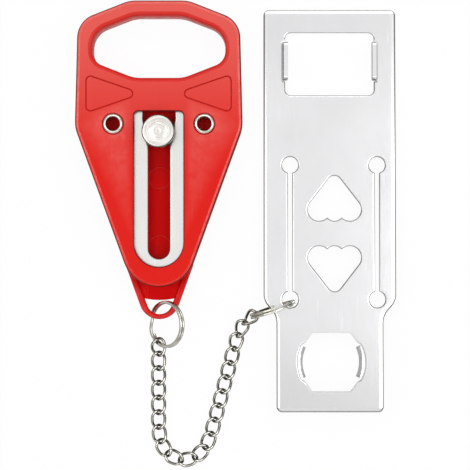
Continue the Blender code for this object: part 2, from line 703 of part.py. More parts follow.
def wire_section(width, thickness, corner):
    """Flattened wire: a rectangle with its corners cut."""
    half_width = width / 2
    half_thickness = thickness / 2
    quarter = [(half_width, half_thickness - corner), (half_width - corner, half_thickness)]
    left = [(-u, v) for u, v in reversed(quarter)]
    below = [(-u, -v) for u, v in quarter + left]
    return quarter + left + below


def split_ring(name, centre, first, second, jog_deg, origin):
    """Split ring of two turns in the plane of two directions; the wire changes layer at the jog."""
    axis = first.cross(second)
    half_jog = RING_JOG_DEG / 2
    begin = jog_deg + half_jog + RING_END_GAP_DEG
    finish_deg = jog_deg + 720.0 - half_jog - RING_END_GAP_DEG
    change = jog_deg + 360.0 - half_jog
    layer = (RING_WIRE_THICKNESS + RING_COIL_GAP) / 2
    steps = round(RING_STEPS_PER_TURN * (finish_deg - begin) / 360.0)
    stations = []
    for step in range(steps + 1):
        angle = begin + (finish_deg - begin) * step / steps
        share = min(max((angle - change) / RING_JOG_DEG, 0.0), 1.0)
        lift = layer * (2 * share * share * (3 - 2 * share) - 1)
        radial = on_ring(Vector(), first, second, angle, 1.0)
        stations.append((centre + radial * RING_WIRE_RADIUS + axis * lift, radial, axis))
    section = wire_section(RING_WIRE_WIDTH, RING_WIRE_THICKNESS, RING_WIRE_CORNER)
    smooth(place(name, swept(stations, section, closed=False), NICKEL_WIRE, origin), 50.0)


def link_stations():
    """Centre line of one curb link: an oval along X, twisted evenly about its long axis."""
    end_radius = LINK_WIDTH / 2
    straight = LINK_LENGTH / 2 - end_radius
    lap = 2 * math.pi * end_radius + 4 * straight
    stations = []
    for step in range(LINK_STEPS):
        travel = lap * (step + 0.5) / LINK_STEPS
        side = -1.0 if travel >= lap / 2 else 1.0
        travel = travel % (lap / 2)
        bend = math.pi * end_radius
        if travel < straight:
            x, y, normal = travel, -end_radius, (0.0, -1.0)
        elif travel < straight + bend:
            angle = (travel - straight) / end_radius - math.pi / 2
            normal = (math.cos(angle), math.sin(angle))
            x, y = straight + end_radius * normal[0], end_radius * normal[1]
        else:
            x, y, normal = 2 * straight + bend - travel, end_radius, (0.0, 1.0)
        twist = math.radians(LINK_TWIST_DEG) * side * x / LINK_LENGTH
        turn = Matrix.Rotation(twist, 3, "X")
        stations.append((turn @ Vector((side * x, side * y, 0.0)),
                         turn @ Vector((side * normal[0], side * normal[1], 0.0)),
                         turn @ Vector((0.0, 0.0, 1.0))))
    return stations


def squared_up(stations):
    """Turns each station's two directions square to the closed line through the stations."""
    squared = []
    count = len(stations)
    for index, (point, across, up) in enumerate(stations):
        along = (stations[(index + 1) % count][0] - stations[index - 1][0]).normalized()
        across = (across - along * across.dot(along)).normalized()
        squared.append((point, across, along.cross(across)))
    return squared


def body_ring_frame():
    """Centre and directions of the tilted ring at the body's loop."""
    tilt = math.radians(BODY_RING_TILT_DEG)
    low_point = RING_OUTER_RADIUS * math.sin(tilt) + RING_DEPTH / 2 * math.cos(tilt)
    centre = Vector((BODY_RING_X, LOOP_END_Y - BODY_RING_BELOW_LOOP, low_point))
    return centre, Vector((math.cos(tilt), 0.0, math.sin(tilt))), Vector((0.0, 1.0, 0.0))


def on_ring(centre, first, second, angle_deg, radius):
    """A point at an angle and a radius in a ring's plane."""
    angle = math.radians(angle_deg)
    return centre + (first * math.cos(angle) + second * math.sin(angle)) * radius


def link_heading(index):
    """Heading of a link in degrees: down from the body, round the bend and up to the plate."""
    share = (index / (LINK_COUNT - 1) - TURN_STARTS_SHARE) / (TURN_ENDS_SHARE - TURN_STARTS_SHARE)
    share = min(max(share, 0.0), 1.0)
    heading = DOWN_RUN_DEG + (UP_RUN_DEG - DOWN_RUN_DEG) * share * share * (3 - 2 * share)
    from_end = index - LINK_COUNT + len(ARRIVING_TURNS_DEG)
    return heading + (ARRIVING_TURNS_DEG[from_end] if from_end >= 0 else 0.0)


def link_slope(index):
    """Rise of a link in degrees: the first come down off the ring, the last climb to theirs."""
    if index < len(LEAVING_SLOPES_DEG):
        return LEAVING_SLOPES_DEG[index]
    from_end = index - LINK_COUNT + len(ARRIVING_SLOPES_DEG)
    return ARRIVING_SLOPES_DEG[from_end] if from_end >= 0 else 0.0


def link_roll(index):
    """Turn of a link about its own length in degrees."""
    from_end = index - LINK_COUNT + len(ARRIVING_ROLLS_DEG)
    return ARRIVING_ROLLS_DEG[from_end] if from_end >= 0 else 0.0


def link_frame(index):
    """Directions of a link: along the chain, across it and up."""
    heading = math.radians(link_heading(index))
    slope = math.radians(link_slope(index))
    along = Vector((math.sin(heading) * math.cos(slope), -math.cos(heading) * math.cos(slope),
                    math.sin(slope)))
    across = Vector((math.cos(heading), math.sin(heading), 0.0))
    return along, across, along.cross(across)


def wire_reach(direction, radial, axis):
    """Half the extent of a ring's two coils along a direction."""
    return (abs(direction.dot(radial)) * RING_WIRE_WIDTH
            + abs(direction.dot(axis)) * RING_DEPTH) / 2


def chain_joints():
    """Points where each link meets the one before it, and the last link's far end."""
    centre, first, second = body_ring_frame()
    along, _, _ = link_frame(0)
    radial = on_ring(Vector(), first, second, BODY_RING_HOOK_DEG, 1.0)
    reach = wire_reach(along, radial, first.cross(second)) + HOOK_GAP / 2
    joints = [centre + radial * RING_WIRE_RADIUS - along * reach]
    for index in range(LINK_COUNT):
        along, _, _ = link_frame(index)
        joints.append(joints[-1] + along * LINK_PITCH)
    return joints


def build_chain():
    """The twisted links, each hooked through the one before it."""
    joints = chain_joints()
    section = [(p.x, p.y) for p in circle(0.0, 0.0, LINK_WIRE_DIAMETER / 2, LINK_SIDES)]
    for index in range(LINK_COUNT):
        along, across, up = link_frame(index)
        middle = (joints[index] + joints[index + 1]) / 2
        turn = (Matrix((along, across, up)).transposed()
                @ Matrix.Rotation(math.radians(link_roll(index)), 3, "X"))
        stations = [(middle + turn @ p, turn @ a, turn @ u)
                    for p, a, u in squared_up(link_stations())]
        smooth(place(f"chain_link_{index + 1:02d}", swept(stations, section, closed=True),
                     NICKEL_WIRE, joints[index]), 60.0)


def plate_ring_frame():
    """Centre and directions of the ring that stands on edge at the strike plate."""
    heading = math.radians(PLATE_RING_HEADING_DEG)
    first = Vector((math.sin(heading), -math.cos(heading), 0.0))
    second = Vector((0.0, 0.0, 1.0))
    along, _, _ = link_frame(LINK_COUNT - 1)
    radial = on_ring(Vector(), first, second, PLATE_RING_HOOK_DEG, 1.0)
    reach = wire_reach(along, radial, first.cross(second)) + HOOK_GAP / 2
    centre = chain_joints()[-1] - along * reach - radial * RING_WIRE_RADIUS
    return centre, first, second


def build_rings():
    """The two split rings, one on the body's loop and one on the strike plate."""
    centre, first, second = body_ring_frame()
    split_ring("body_ring", centre, first, second, BODY_RING_JOG_DEG, centre)
    centre, first, second = plate_ring_frame()
    split_ring("plate_ring", centre, first, second, PLATE_RING_JOG_DEG, chain_joints()[-1])


def plate_rest():
    """The plate rests on its lower claws and its far edge: where the claws touch, and its tilt."""
    spread = math.asin(ROUND_CLAW_HALF_LENGTH / ROUND_CLAW_ROOT_RADIUS)
    spread -= CLAW_TIP_CHAMFER / ROUND_CLAW_ROOT_RADIUS
    claw_radius = ROUND_CLAW_ROOT_RADIUS - CLAW_BEND_INSIDE_RADIUS
    foot_y = ROUND_OPENING_Y + claw_radius * math.sin(spread)
    return foot_y, math.atan2(PLATE_BOTTOM, PLATE_LENGTH - PLATE_EDGE_ROUND - foot_y)


def plate_placement():
    """Place and tilt of the strike plate, by the ring through its lower left hole."""
    foot_y, tilt = plate_rest()
    foot = Matrix.Translation((0.0, foot_y, 0.0))
    tipped = foot @ Matrix.Rotation(-tilt, 4, "X") @ foot.inverted()
    hole = tipped @ Vector((PIERCING_OFFSET_X - LONG_SLOT_SPACING / 2,
                            PIERCING_CENTRE_Y - LONG_SLOT_LENGTH / 2,
                            (PLATE_BOTTOM + PLATE_TOP) / 2))
    centre, first, _ = plate_ring_frame()
    crossing = centre + first * math.sqrt(RING_WIRE_RADIUS ** 2 - (hole.z - centre.z) ** 2)
    shift = Vector((crossing.x - RING_IN_HOLE_X - hole.x, crossing.y - RING_IN_HOLE_Y - hole.y, 0.0))
    return Matrix.Translation(shift) @ tipped


def plate_outline():
    """Outline of the strike plate: a wide plate with a narrower lower end."""
    return rounded(mirrored([
        (PLATE_HALF_WIDTH, PLATE_LENGTH, PLATE_CORNER_RADIUS),
        (PLATE_HALF_WIDTH, NECK_LENGTH + SHOULDER_LENGTH, SHOULDER_BEND_RADIUS),
        (NECK_HALF_WIDTH, NECK_LENGTH, SHOULDER_BEND_RADIUS),
        (NECK_HALF_WIDTH, 0.0, PLATE_CORNER_RADIUS),
    ]))


def window_opening_outline():
    """Outline of the rectangular opening, notched at the roots of its two claws."""
    notch = WINDOW_CLAW_HALF_LENGTH + CLAW_RELIEF
    return rounded(mirrored([
        (WINDOW_OPENING_HALF_WIDTH, WINDOW_OPENING_TOP, WINDOW_OPENING_RADIUS),
        (WINDOW_OPENING_HALF_WIDTH, WINDOW_CLAW_Y + notch, 0.0),
        (WINDOW_CLAW_ROOT_X, WINDOW_CLAW_Y + notch, 0.0),
        (WINDOW_CLAW_ROOT_X, WINDOW_CLAW_Y - notch, 0.0),
        (WINDOW_OPENING_HALF_WIDTH, WINDOW_CLAW_Y - notch, 0.0),
        (WINDOW_OPENING_HALF_WIDTH, WINDOW_OPENING_BOTTOM, WINDOW_OPENING_RADIUS),
    ]))


def round_opening_outline():
    """Outline of the octagonal opening, whose sides are arcs at the roots of its claws."""
    notch = math.degrees(math.asin((ROUND_CLAW_HALF_LENGTH + CLAW_RELIEF)
                                   / ROUND_CLAW_ROOT_RADIUS))
    arc_x = ROUND_CLAW_ROOT_X - ROUND_CLAW_ROOT_RADIUS
    side = arc(arc_x, ROUND_OPENING_Y, ROUND_CLAW_ROOT_RADIUS, notch, -notch)
    upper = [(ROUND_OPENING_FLAT, ROUND_OPENING_Y + ROUND_OPENING_HALF_HEIGHT),
             (ROUND_OPENING_SHOULDER_X, ROUND_OPENING_Y + ROUND_OPENING_SHOULDER_Y)]
    lower = [(x, 2 * ROUND_OPENING_Y - y) for x, y in reversed(upper)]
    right = upper + [(p.x, p.y) for p in side] + lower
    return [Vector((ROUND_OPENING_X + x, y)) for x, y in mirrored(right)]


def long_slot_outline(centre_x):
    """Outline of one long slot with a round hole at each end."""
    opening = math.degrees(math.asin(LONG_SLOT_HALF_WIDTH / LONG_SLOT_END_RADIUS))
    low = PIERCING_CENTRE_Y - LONG_SLOT_LENGTH / 2
    high = PIERCING_CENTRE_Y + LONG_SLOT_LENGTH / 2
    return (arc(centre_x, high, LONG_SLOT_END_RADIUS, 270.0 + opening - 360.0, 270.0 - opening)
            + arc(centre_x, low, LONG_SLOT_END_RADIUS, 90.0 + opening, 450.0 - opening))


def heart_outline(sign):
    """Outline of a heart opening: a round apex, two lobes and a scallop between them."""
    apex = Vector((0.0, HEART_APEX_Y - HEART_APEX_RADIUS))
    lobe = Vector((HEART_LOBE_X, HEART_LOBE_Y))
    scallop = Vector((0.0, HEART_SCALLOP_Y))
    span = lobe - apex
    flank = math.atan2(span.y, span.x) + math.acos((HEART_APEX_RADIUS - HEART_LOBE_RADIUS)
                                                   / span.length)
    inward = scallop - lobe
    reach = ((HEART_LOBE_RADIUS ** 2 - HEART_SCALLOP_RADIUS ** 2) / inward.length
             + inward.length) / 2
    drop = math.sqrt(HEART_LOBE_RADIUS ** 2 - reach ** 2)
    unit = inward.normalized()
    cusp = lobe + unit * reach + Vector((-unit.y, unit.x)) * drop
    flank_deg = math.degrees(flank)
    lobe_cusp_deg = math.degrees(math.atan2(cusp.y - lobe.y, cusp.x - lobe.x))
    scallop_cusp_deg = math.degrees(math.atan2(cusp.y - scallop.y, cusp.x - scallop.x))
    if lobe_cusp_deg > 0:
        lobe_cusp_deg -= 360.0
    right_lobe = arc(lobe.x, lobe.y, HEART_LOBE_RADIUS, lobe_cusp_deg, flank_deg)
    left_lobe = arc(-lobe.x, lobe.y, HEART_LOBE_RADIUS, 180.0 - flank_deg, 180.0 - lobe_cusp_deg)
    points = (arc(apex.x, apex.y, HEART_APEX_RADIUS, flank_deg, 180.0 - flank_deg)
              + left_lobe[1:]
              + arc(0.0, scallop.y, HEART_SCALLOP_RADIUS, -180.0 - scallop_cusp_deg,
                    scallop_cusp_deg)[1:-1]
              + right_lobe[:-1])
    centre = Vector((PIERCING_OFFSET_X + HEART_OFFSET_X, PIERCING_CENTRE_Y + HEART_OFFSET_Y))
    return [centre + Vector((p.x, sign * p.y)) for p in points]


def claw_profile():
    """Section of a claw: out of the plate's edge, round the bend and straight down."""
    outer = CLAW_BEND_INSIDE_RADIUS + PLATE_THICKNESS - 2 * CLAW_STEP
    bend_z = PLATE_TOP - CLAW_STEP - outer
    back = -FUSE_DEPTH
    profile = [(back, PLATE_TOP - CLAW_STEP)]
    profile += [(p.x, p.y) for p in reversed(arc(0.0, bend_z, outer, 0.0, 90.0))]
    profile += [(outer, 0.0), (CLAW_BEND_INSIDE_RADIUS, 0.0)]
    profile += [(p.x, p.y) for p in arc(0.0, bend_z, CLAW_BEND_INSIDE_RADIUS, 0.0, 90.0)]
    return profile + [(back, PLATE_BOTTOM + CLAW_STEP)]


def claw(name, roots, bent_up):
    """One claw along root points (point, inward direction); its tip's corners are cut."""
    bm = bmesh.new()
    last = len(roots) - 1
    loops = []
    for index, (root, inward) in enumerate(roots):
        lift = CLAW_TIP_CHAMFER if index in (0, last) else 0.0
        points = [(root.x + inward.x * u, root.y + inward.y * u, max(z, lift))
                  for u, z in claw_profile()]
        if bent_up:
            points = [(x, y, PLATE_BOTTOM + PLATE_TOP - z) for x, y, z in points]
        loops.append([bm.verts.new(point) for point in points])
    for first, second in zip(loops, loops[1:]):
        for index in range(len(first)):
            following = (index + 1) % len(first)
            bm.faces.new((first[index], first[following], second[following], second[index]))
    bm.faces.new(loops[0])
    bm.faces.new(loops[-1])
    return place(name, bm)


def claw_roots():
    """Root lines of the four claws: two straight, two along arcs."""
    straight = [-WINDOW_CLAW_HALF_LENGTH, CLAW_TIP_CHAMFER - WINDOW_CLAW_HALF_LENGTH,
                WINDOW_CLAW_HALF_LENGTH - CLAW_TIP_CHAMFER, WINDOW_CLAW_HALF_LENGTH]
    half_deg = math.degrees(math.asin(ROUND_CLAW_HALF_LENGTH / ROUND_CLAW_ROOT_RADIUS))
    chamfer_deg = math.degrees(CLAW_TIP_CHAMFER / ROUND_CLAW_ROOT_RADIUS)
    arc_x = ROUND_CLAW_ROOT_X - ROUND_CLAW_ROOT_RADIUS
    inner = [half_deg - chamfer_deg, 0.0, chamfer_deg - half_deg]
    roots = {}
    for side, sign in SIDES:
        roots[f"window_claw_{side}"] = [
            (Vector((sign * WINDOW_CLAW_ROOT_X, WINDOW_CLAW_Y + y)), Vector((-sign, 0.0)))
            for y in straight]
        roots[f"round_claw_{side}"] = []
        for angle_deg in [half_deg, *inner, -half_deg]:
            angle = math.radians(angle_deg)
            outward = Vector((sign * math.cos(angle), math.sin(angle)))
            centre = Vector((ROUND_OPENING_X + sign * arc_x, ROUND_OPENING_Y))
            point = centre + outward * ROUND_CLAW_ROOT_RADIUS
            roots[f"round_claw_{side}"].append((point, -outward))
    return roots


def build_strike_plate():
    """Pierced plate with its four claws, tilted as it lies."""
    level = chamfered(PLATE_BOTTOM, PLATE_TOP, PLATE_EDGE_ROUND)
    slot_x = LONG_SLOT_SPACING / 2
    outlines = [plate_outline(), window_opening_outline(), round_opening_outline(),
                heart_outline(1), heart_outline(-1),
                long_slot_outline(PIERCING_OFFSET_X - slot_x),
                long_slot_outline(PIERCING_OFFSET_X + slot_x)]
    plate = place("strike_plate", slab([(outline, level) for outline in outlines]), PLATE_STEEL)
    for name, roots in claw_roots().items():
        combine(plate, claw(name, roots, name.startswith("window")), "UNION")
    pivot, _, _ = plate_ring_frame()
    for item in [plate] + [modifier.object for modifier in plate.modifiers]:
        item.data.transform(Matrix.Translation(-pivot) @ plate_placement())
        item.location = pivot


def main():
    """Builds the whole lock."""
    clear_scene()
    build_back_shell()
    build_front_shell()
    build_guide_plate()
    for side, sign in SIDES:
        build_eyelet(f"eyelet_{side}", sign)
    build_knob()
    build_rings()
    build_chain()
    build_strike_plate()


main()
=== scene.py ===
"""Looks of a portable door lock: a red handled body, a chain and a pierced strike plate.

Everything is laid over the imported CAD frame, in metres, with +X from the body to the strike
plate, +Y towards the handle and +Z out of the front faces.
"""
from __future__ import annotations

import json
import logging
import math
from dataclasses import dataclass
from enum import Enum
from typing import Iterable, Sequence, Union

import bmesh
import bpy
from mathutils import Matrix, Vector

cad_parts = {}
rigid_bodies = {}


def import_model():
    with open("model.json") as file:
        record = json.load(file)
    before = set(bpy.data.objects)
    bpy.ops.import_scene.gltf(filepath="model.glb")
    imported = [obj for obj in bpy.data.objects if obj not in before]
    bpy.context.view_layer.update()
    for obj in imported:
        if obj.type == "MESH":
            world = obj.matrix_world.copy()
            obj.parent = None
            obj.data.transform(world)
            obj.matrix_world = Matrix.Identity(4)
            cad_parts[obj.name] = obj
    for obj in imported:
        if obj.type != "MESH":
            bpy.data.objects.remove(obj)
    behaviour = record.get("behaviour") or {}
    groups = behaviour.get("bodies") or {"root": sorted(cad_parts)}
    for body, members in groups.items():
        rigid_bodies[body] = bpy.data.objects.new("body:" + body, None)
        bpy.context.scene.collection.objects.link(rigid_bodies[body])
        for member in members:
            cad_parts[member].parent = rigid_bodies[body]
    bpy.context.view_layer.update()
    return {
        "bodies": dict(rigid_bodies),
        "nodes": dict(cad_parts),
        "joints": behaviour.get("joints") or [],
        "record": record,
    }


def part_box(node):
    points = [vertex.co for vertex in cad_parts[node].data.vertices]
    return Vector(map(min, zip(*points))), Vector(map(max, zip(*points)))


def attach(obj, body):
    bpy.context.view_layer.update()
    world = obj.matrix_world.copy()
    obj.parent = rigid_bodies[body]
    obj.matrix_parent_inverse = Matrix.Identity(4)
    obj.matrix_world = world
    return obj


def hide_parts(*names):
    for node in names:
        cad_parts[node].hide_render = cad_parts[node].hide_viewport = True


LOG = logging.getLogger("door_lock")
# The widest turn between two points of an arc.
ARC_STEP = math.radians(6.0)
# Faces that meet at less than this are shaded as one.
SMOOTH_BELOW = math.radians(34.0)
# The gap that is left between two parts that rest on each other.
SEAT_GAP = 0.0003
# A small step outwards, to find which way a wall faces.
NUDGE = 0.0001
# Left and right, or below and above.
SIDES = (-1, 1)
WHITE = (1.0, 1.0, 1.0)
# The mesh attribute that carries painted light: above 0 a painted highlight, below 0 a painted
# shade.
PAINTED_LIGHT_ATTRIBUTE = "painted_light"

Colour = tuple[float, float, float]
Span = tuple[float, float]
# An outline's corner: x, y and radius.
Corner = tuple[float, float, float]
# A row of a wall: height, inset and painted light, above 0 a painted highlight and below 0 a
# painted shade.
Level = tuple[float, float, float]
# The edges of a wall's first and last row.
Rims = tuple[list, list]
# Sets of parallel scratches: direction, number per metre and share of the surface.
Scratches = tuple[tuple[float, float, float], ...]
Value = Union[float, "Socket"]


class Bend(Enum):
    """Which way a claw is bent out of the strike plate."""

    UP = 1
    DOWN = -1


class Socket:
    """An output of a node; arithmetic on it adds Math nodes."""

    def __init__(self, graph: Graph, output: bpy.types.NodeSocket) -> None:
        """Keeps the output and the tree that it is in."""
        self.graph = graph
        self.output = output

    def __add__(self, other: Value) -> Socket:
        """Sum."""
        return self.graph.math("ADD", self, other)

    def __radd__(self, other: Value) -> Socket:
        """Sum, with a number first."""
        return self.graph.math("ADD", other, self)

    def __sub__(self, other: Value) -> Socket:
        """Difference."""
        return self.graph.math("SUBTRACT", self, other)

    def __rsub__(self, other: Value) -> Socket:
        """Difference, with a number first."""
        return self.graph.math("SUBTRACT", other, self)

    def __mul__(self, other: Value) -> Socket:
        """Product."""
        return self.graph.math("MULTIPLY", self, other)

    def __rmul__(self, other: Value) -> Socket:
        """Product, with a number first."""
        return self.graph.math("MULTIPLY", other, self)

    def __truediv__(self, other: Value) -> Socket:
        """Quotient."""
        return self.graph.math("DIVIDE", self, other)


class Graph:
    """A node tree under construction, for a material, the world or Geometry Nodes."""

    def __init__(self, tree: bpy.types.NodeTree) -> None:
        """Empties the tree."""
        self.tree = tree
        tree.nodes.clear()

    def node(self, kind: str, settings: dict[str, object] | None = None,
             sockets: dict[str | int, object] | None = None, output: str | int = 0) -> Socket:
        """Adds any node.

        Args:
            kind: The node's type.
            settings: Its properties, set first.
            sockets: Values or links of its inputs, by name or number.
            output: The output that is wanted.

        Returns:
            That output.
        """
        made = self.tree.nodes.new(kind)
        for name, value in (settings or {}).items():
            setattr(made, name, value)
        for key, value in (sockets or {}).items():
            target = made.inputs[key] if isinstance(key, int) else next(
                item for item in made.inputs if item.name == key and item.enabled)
            if isinstance(value, Socket):
                self.tree.links.new(value.output, target)
            else:
                target.default_value = value
        return Socket(self, made.outputs[output] if made.outputs else None)

    def math(self, operation: str, first: Value, second: Value = 0.0) -> Socket:
        """A Math node of two values."""
        return self.node("ShaderNodeMath", {"operation": operation}, {0: first, 1: second})

    def between(self, value: Value, low: Value, high: Value) -> Socket:
        """0 up to a first value, 1 from a second one on and smooth between them."""
        return self.node("ShaderNodeMapRange", {"interpolation_type": "SMOOTHSTEP"},
                         {"Value": value, "From Min": low, "From Max": high})

    def part(self, vector: Socket, axis: str) -> Socket:
        """One of a vector's three numbers."""
        return self.node("ShaderNodeSeparateXYZ", {}, {0: vector}, output=axis)

    def vector(self, x: Value, y: Value = 0.0, z: Value = 0.0) -> Socket:
        """A vector of three numbers."""
        return self.node("ShaderNodeCombineXYZ", {}, {"X": x, "Y": y, "Z": z})

    def mix(self, share: Value, first: Colour | Socket, second: Colour | Socket) -> Socket:
        """A mix of two colours.

        Args:
            share: Share of the second, from 0 to 1.
            first: One colour.
            second: The other.

        Returns:
            The colour.
        """
        pair = [(*item, 1.0) if isinstance(item, tuple) else item for item in (first, second)]
        return self.node("ShaderNodeMix", {"data_type": "RGBA"},
                         {0: share, 6: pair[0], 7: pair[1]}, output=2)

    def ray(self, kind: str) -> Socket:
        """1 for one kind of ray, such as Is Camera Ray, and 0 for the others."""
        return self.node("ShaderNodeLightPath", output=kind)

    def glow(self, kind: str, colour: Colour | Socket, strength: Value) -> Socket:
        """A shader that shines, in the world or on a surface."""
        tint = colour if isinstance(colour, Socket) else (*colour, 1.0)
        return self.node(kind, {}, {"Color": tint, "Strength": strength})


class MaterialGraph(Graph):
    """The node tree of one material."""

    noise_roughness: float = 0.55
    scratch_stretch: float = 60.0
    scratch_widest: float = 0.72
    scratch_narrowing: float = 0.2
    scratch_softness: float = 0.06

    def __init__(self, name: str) -> None:
        """Makes the material.

        Args:
            name: Its name.
        """
        self.material = bpy.data.materials.new(name)
        self.material.use_nodes = True
        super().__init__(self.material.node_tree)

    def place(self, centre: Sequence[float] = (0.0, 0.0, 0.0),
              scale: Sequence[float] = (1.0, 1.0, 1.0), turn: float = 0.0) -> Socket:
        """Object coordinates, centred, turned about Z and stretched.

        Args:
            centre: The point that becomes the origin.
            scale: Stretch along each axis.
            turn: Turn about Z, in radians.

        Returns:
            The coordinates.
        """
        own = self.node("ShaderNodeTexCoord", output="Object")
        moved = self.node("ShaderNodeVectorMath", {"operation": "SUBTRACT"}, {0: own, 1: centre})
        return self.node("ShaderNodeMapping", {}, {"Vector": moved, "Rotation": (0, 0, turn),
                                                   "Scale": scale})

    def noise(self, place: Socket, scale: float, detail: float = 3.0) -> Socket:
        """Noise from 0 to 1 at a number of waves per metre."""
        return self.node("ShaderNodeTexNoise", {}, {
            "Vector": place, "Scale": scale, "Detail": detail,
            "Roughness": self.noise_roughness})

    def hairlines(self, turn: float, density: float, share: float) -> Socket:
        """Fine parallel scratches.

        Args:
            turn: Their direction about Z, in radians.
            density: Scratches per metre across them.
            share: How much of the surface they take, from 0 to 1.

        Returns:
            A mask, 1 in a scratch.
        """
        place = self.place(scale=(density, density / self.scratch_stretch, density), turn=turn)
        edge = self.scratch_widest - self.scratch_narrowing * share
        return self.between(self.noise(place, 1.0, detail=2.0), edge, edge + self.scratch_softness)

    def scratches(self, turn: float, sets: Scratches) -> Socket:
        """Scratches in several directions.

        Args:
            turn: Turn of all of them about Z, in radians.
            sets: The direction, density and share of each.

        Returns:
            The sum of their masks.
        """
        masks = [self.hairlines(turn + lean, density, share) for lean, density, share in sets]
        return sum(masks[1:], masks[0])

    def light_and_shade(self) -> Socket:
        """The painted light and shade that the mesh carries: above 0 a painted highlight, below 0
        a painted shade.
        """
        return self.node("ShaderNodeAttribute", {"attribute_name": PAINTED_LIGHT_ATTRIBUTE}, output="Fac")

    def painted_light(self) -> Socket:
        """The painted highlight along the rounded edges."""
        return self.math("MAXIMUM", self.light_and_shade(), 0.0)

    def painted_shade(self) -> Socket:
        """The painted shade in the corners and along the lower edges."""
        return self.math("MAXIMUM", self.light_and_shade() * -1.0, 0.0)

    def bump(self, height: Socket, distance: float) -> Socket:
        """A normal from a height between 0 and 1, over a distance in metres."""
        return self.node("ShaderNodeBump", {}, {"Height": height, "Distance": distance})

    def close(self, shader: Socket) -> bpy.types.Material:
        """Ends the tree with a shader."""
        self.node("ShaderNodeOutputMaterial", {}, {"Surface": shader})
        return self.material

    def surface(self, sockets: dict[str, object]) -> bpy.types.Material:
        """Ends the tree with a Principled shader of these inputs."""
        return self.close(self.node("ShaderNodeBsdfPrincipled", {}, sockets))


def scaled(colour: Colour, factor: float) -> Colour:
    """A colour made darker or lighter, kept within 0 and 1."""
    return tuple(min(max(part * factor, 0.0), 1.0) for part in colour)


@dataclass(frozen=True)
class MouldedPlastic:
    """Moulded plastic with flow marks, paler towards the handle by a painted reflection, with
    painted highlights along its rounded edges and painted shade in its corners.
    """

    colour: Colour
    # Colour towards the handle: a painted reflection.
    lit_top_colour: Colour
    # Colour of the scratches and of the painted highlight along the edges.
    scratch_and_highlight_colour: Colour
    # Colour of the painted shade.
    shade_colour: Colour = (0.16, 0.006, 0.008)
    gloss: float = 0.18
    sheen: float = 0.10
    coat_roughness: float = 0.16
    ior: float = 1.46
    roughness: float = 0.34
    rougher_by_flow: float = 0.08
    rougher_by_scratch: float = 0.10
    rougher_by_grain: float = 0.06
    smoother_at_highlight: float = 0.12
    grain_depth: float = 0.000012
    grain_waves: float = 2400.0
    scratch_height: float = 0.5
    flow_waves: float = 45.0
    flow_stretch: tuple[float, float, float] = (1.0, 0.4, 1.0)
    patch_waves: float = 300.0
    patch_range: Span = (0.35, 0.6)
    patchiness: float = 0.45
    scratches: Scratches = ((0.5, 2600.0, 0.18), (-0.7, 2100.0, 0.14), (1.4, 3000.0, 0.10))
    scratch_share: float = 0.08
    # Shares of the painted highlight and of the painted shade.
    painted_light_share: float = 0.6
    shade_share: float = 0.9
    shade_range: Span = (0.0, 0.12)
    lit_top_cut_by_shade: float = 0.8
    # Where the painted reflection towards the handle starts and ends.
    lit_top_ends: Span = (-0.030, 0.030)
    lit_top_by_flow: float = 0.04
    # Where the painted highlight dims towards the lower end.
    highlight_dim_ends: Span = (-0.069, -0.056)
    highlight_dimming: float = 0.8

    def material(self, name: str) -> bpy.types.Material:
        """Makes the material.

        Args:
            name: Its name.

        Returns:
            The material.
        """
        graph = MaterialGraph(name)
        place = graph.place()
        height = graph.part(place, "Y")
        flow = graph.noise(graph.place(scale=self.flow_stretch), self.flow_waves) - 0.5
        grain = graph.noise(place, self.grain_waves, detail=4.0)
        scratches = graph.scratches(0.0, self.scratches)
        patches = graph.between(graph.noise(place, self.patch_waves), *self.patch_range)
        # Painted highlight along the rounded edges, patchy and dimmer towards the lower end.
        painted_light = graph.painted_light() * (1.0 - self.patchiness + self.patchiness * patches)
        painted_light = painted_light * (1.0 - self.highlight_dimming
                     + self.highlight_dimming * graph.between(height, *self.highlight_dim_ends))
        # Painted shade in the corners and along the lower edges.
        painted_shade = graph.painted_shade()
        # Painted reflection: paler towards the handle, less so where the painted shade is.
        lit_top = graph.between(height, *self.lit_top_ends) + self.lit_top_by_flow * flow
        lit_top = lit_top * (1.0 - graph.between(painted_shade, *self.shade_range) * self.lit_top_cut_by_shade)
        face = graph.mix(lit_top, self.colour, self.lit_top_colour)
        face = graph.mix(scratches * self.scratch_share, face, self.scratch_and_highlight_colour)
        face = graph.mix(painted_light * self.painted_light_share, face, self.scratch_and_highlight_colour)
        roughness = (self.roughness + self.rougher_by_flow * flow
                     + self.rougher_by_scratch * scratches - self.smoother_at_highlight * painted_light)
        return graph.surface({
            "Base Color": graph.mix(painted_shade * self.shade_share, face, self.shade_colour),
            "Roughness": roughness + self.rougher_by_grain * (grain - 0.5),
            "IOR": self.ior,
            "Specular IOR Level": self.gloss,
            "Coat Weight": self.sheen * (1.0 - painted_shade) + painted_light * (1.0 - self.sheen),
            "Coat Roughness": self.coat_roughness,
            "Normal": graph.bump(grain - self.scratch_height * scratches, self.grain_depth),
        })


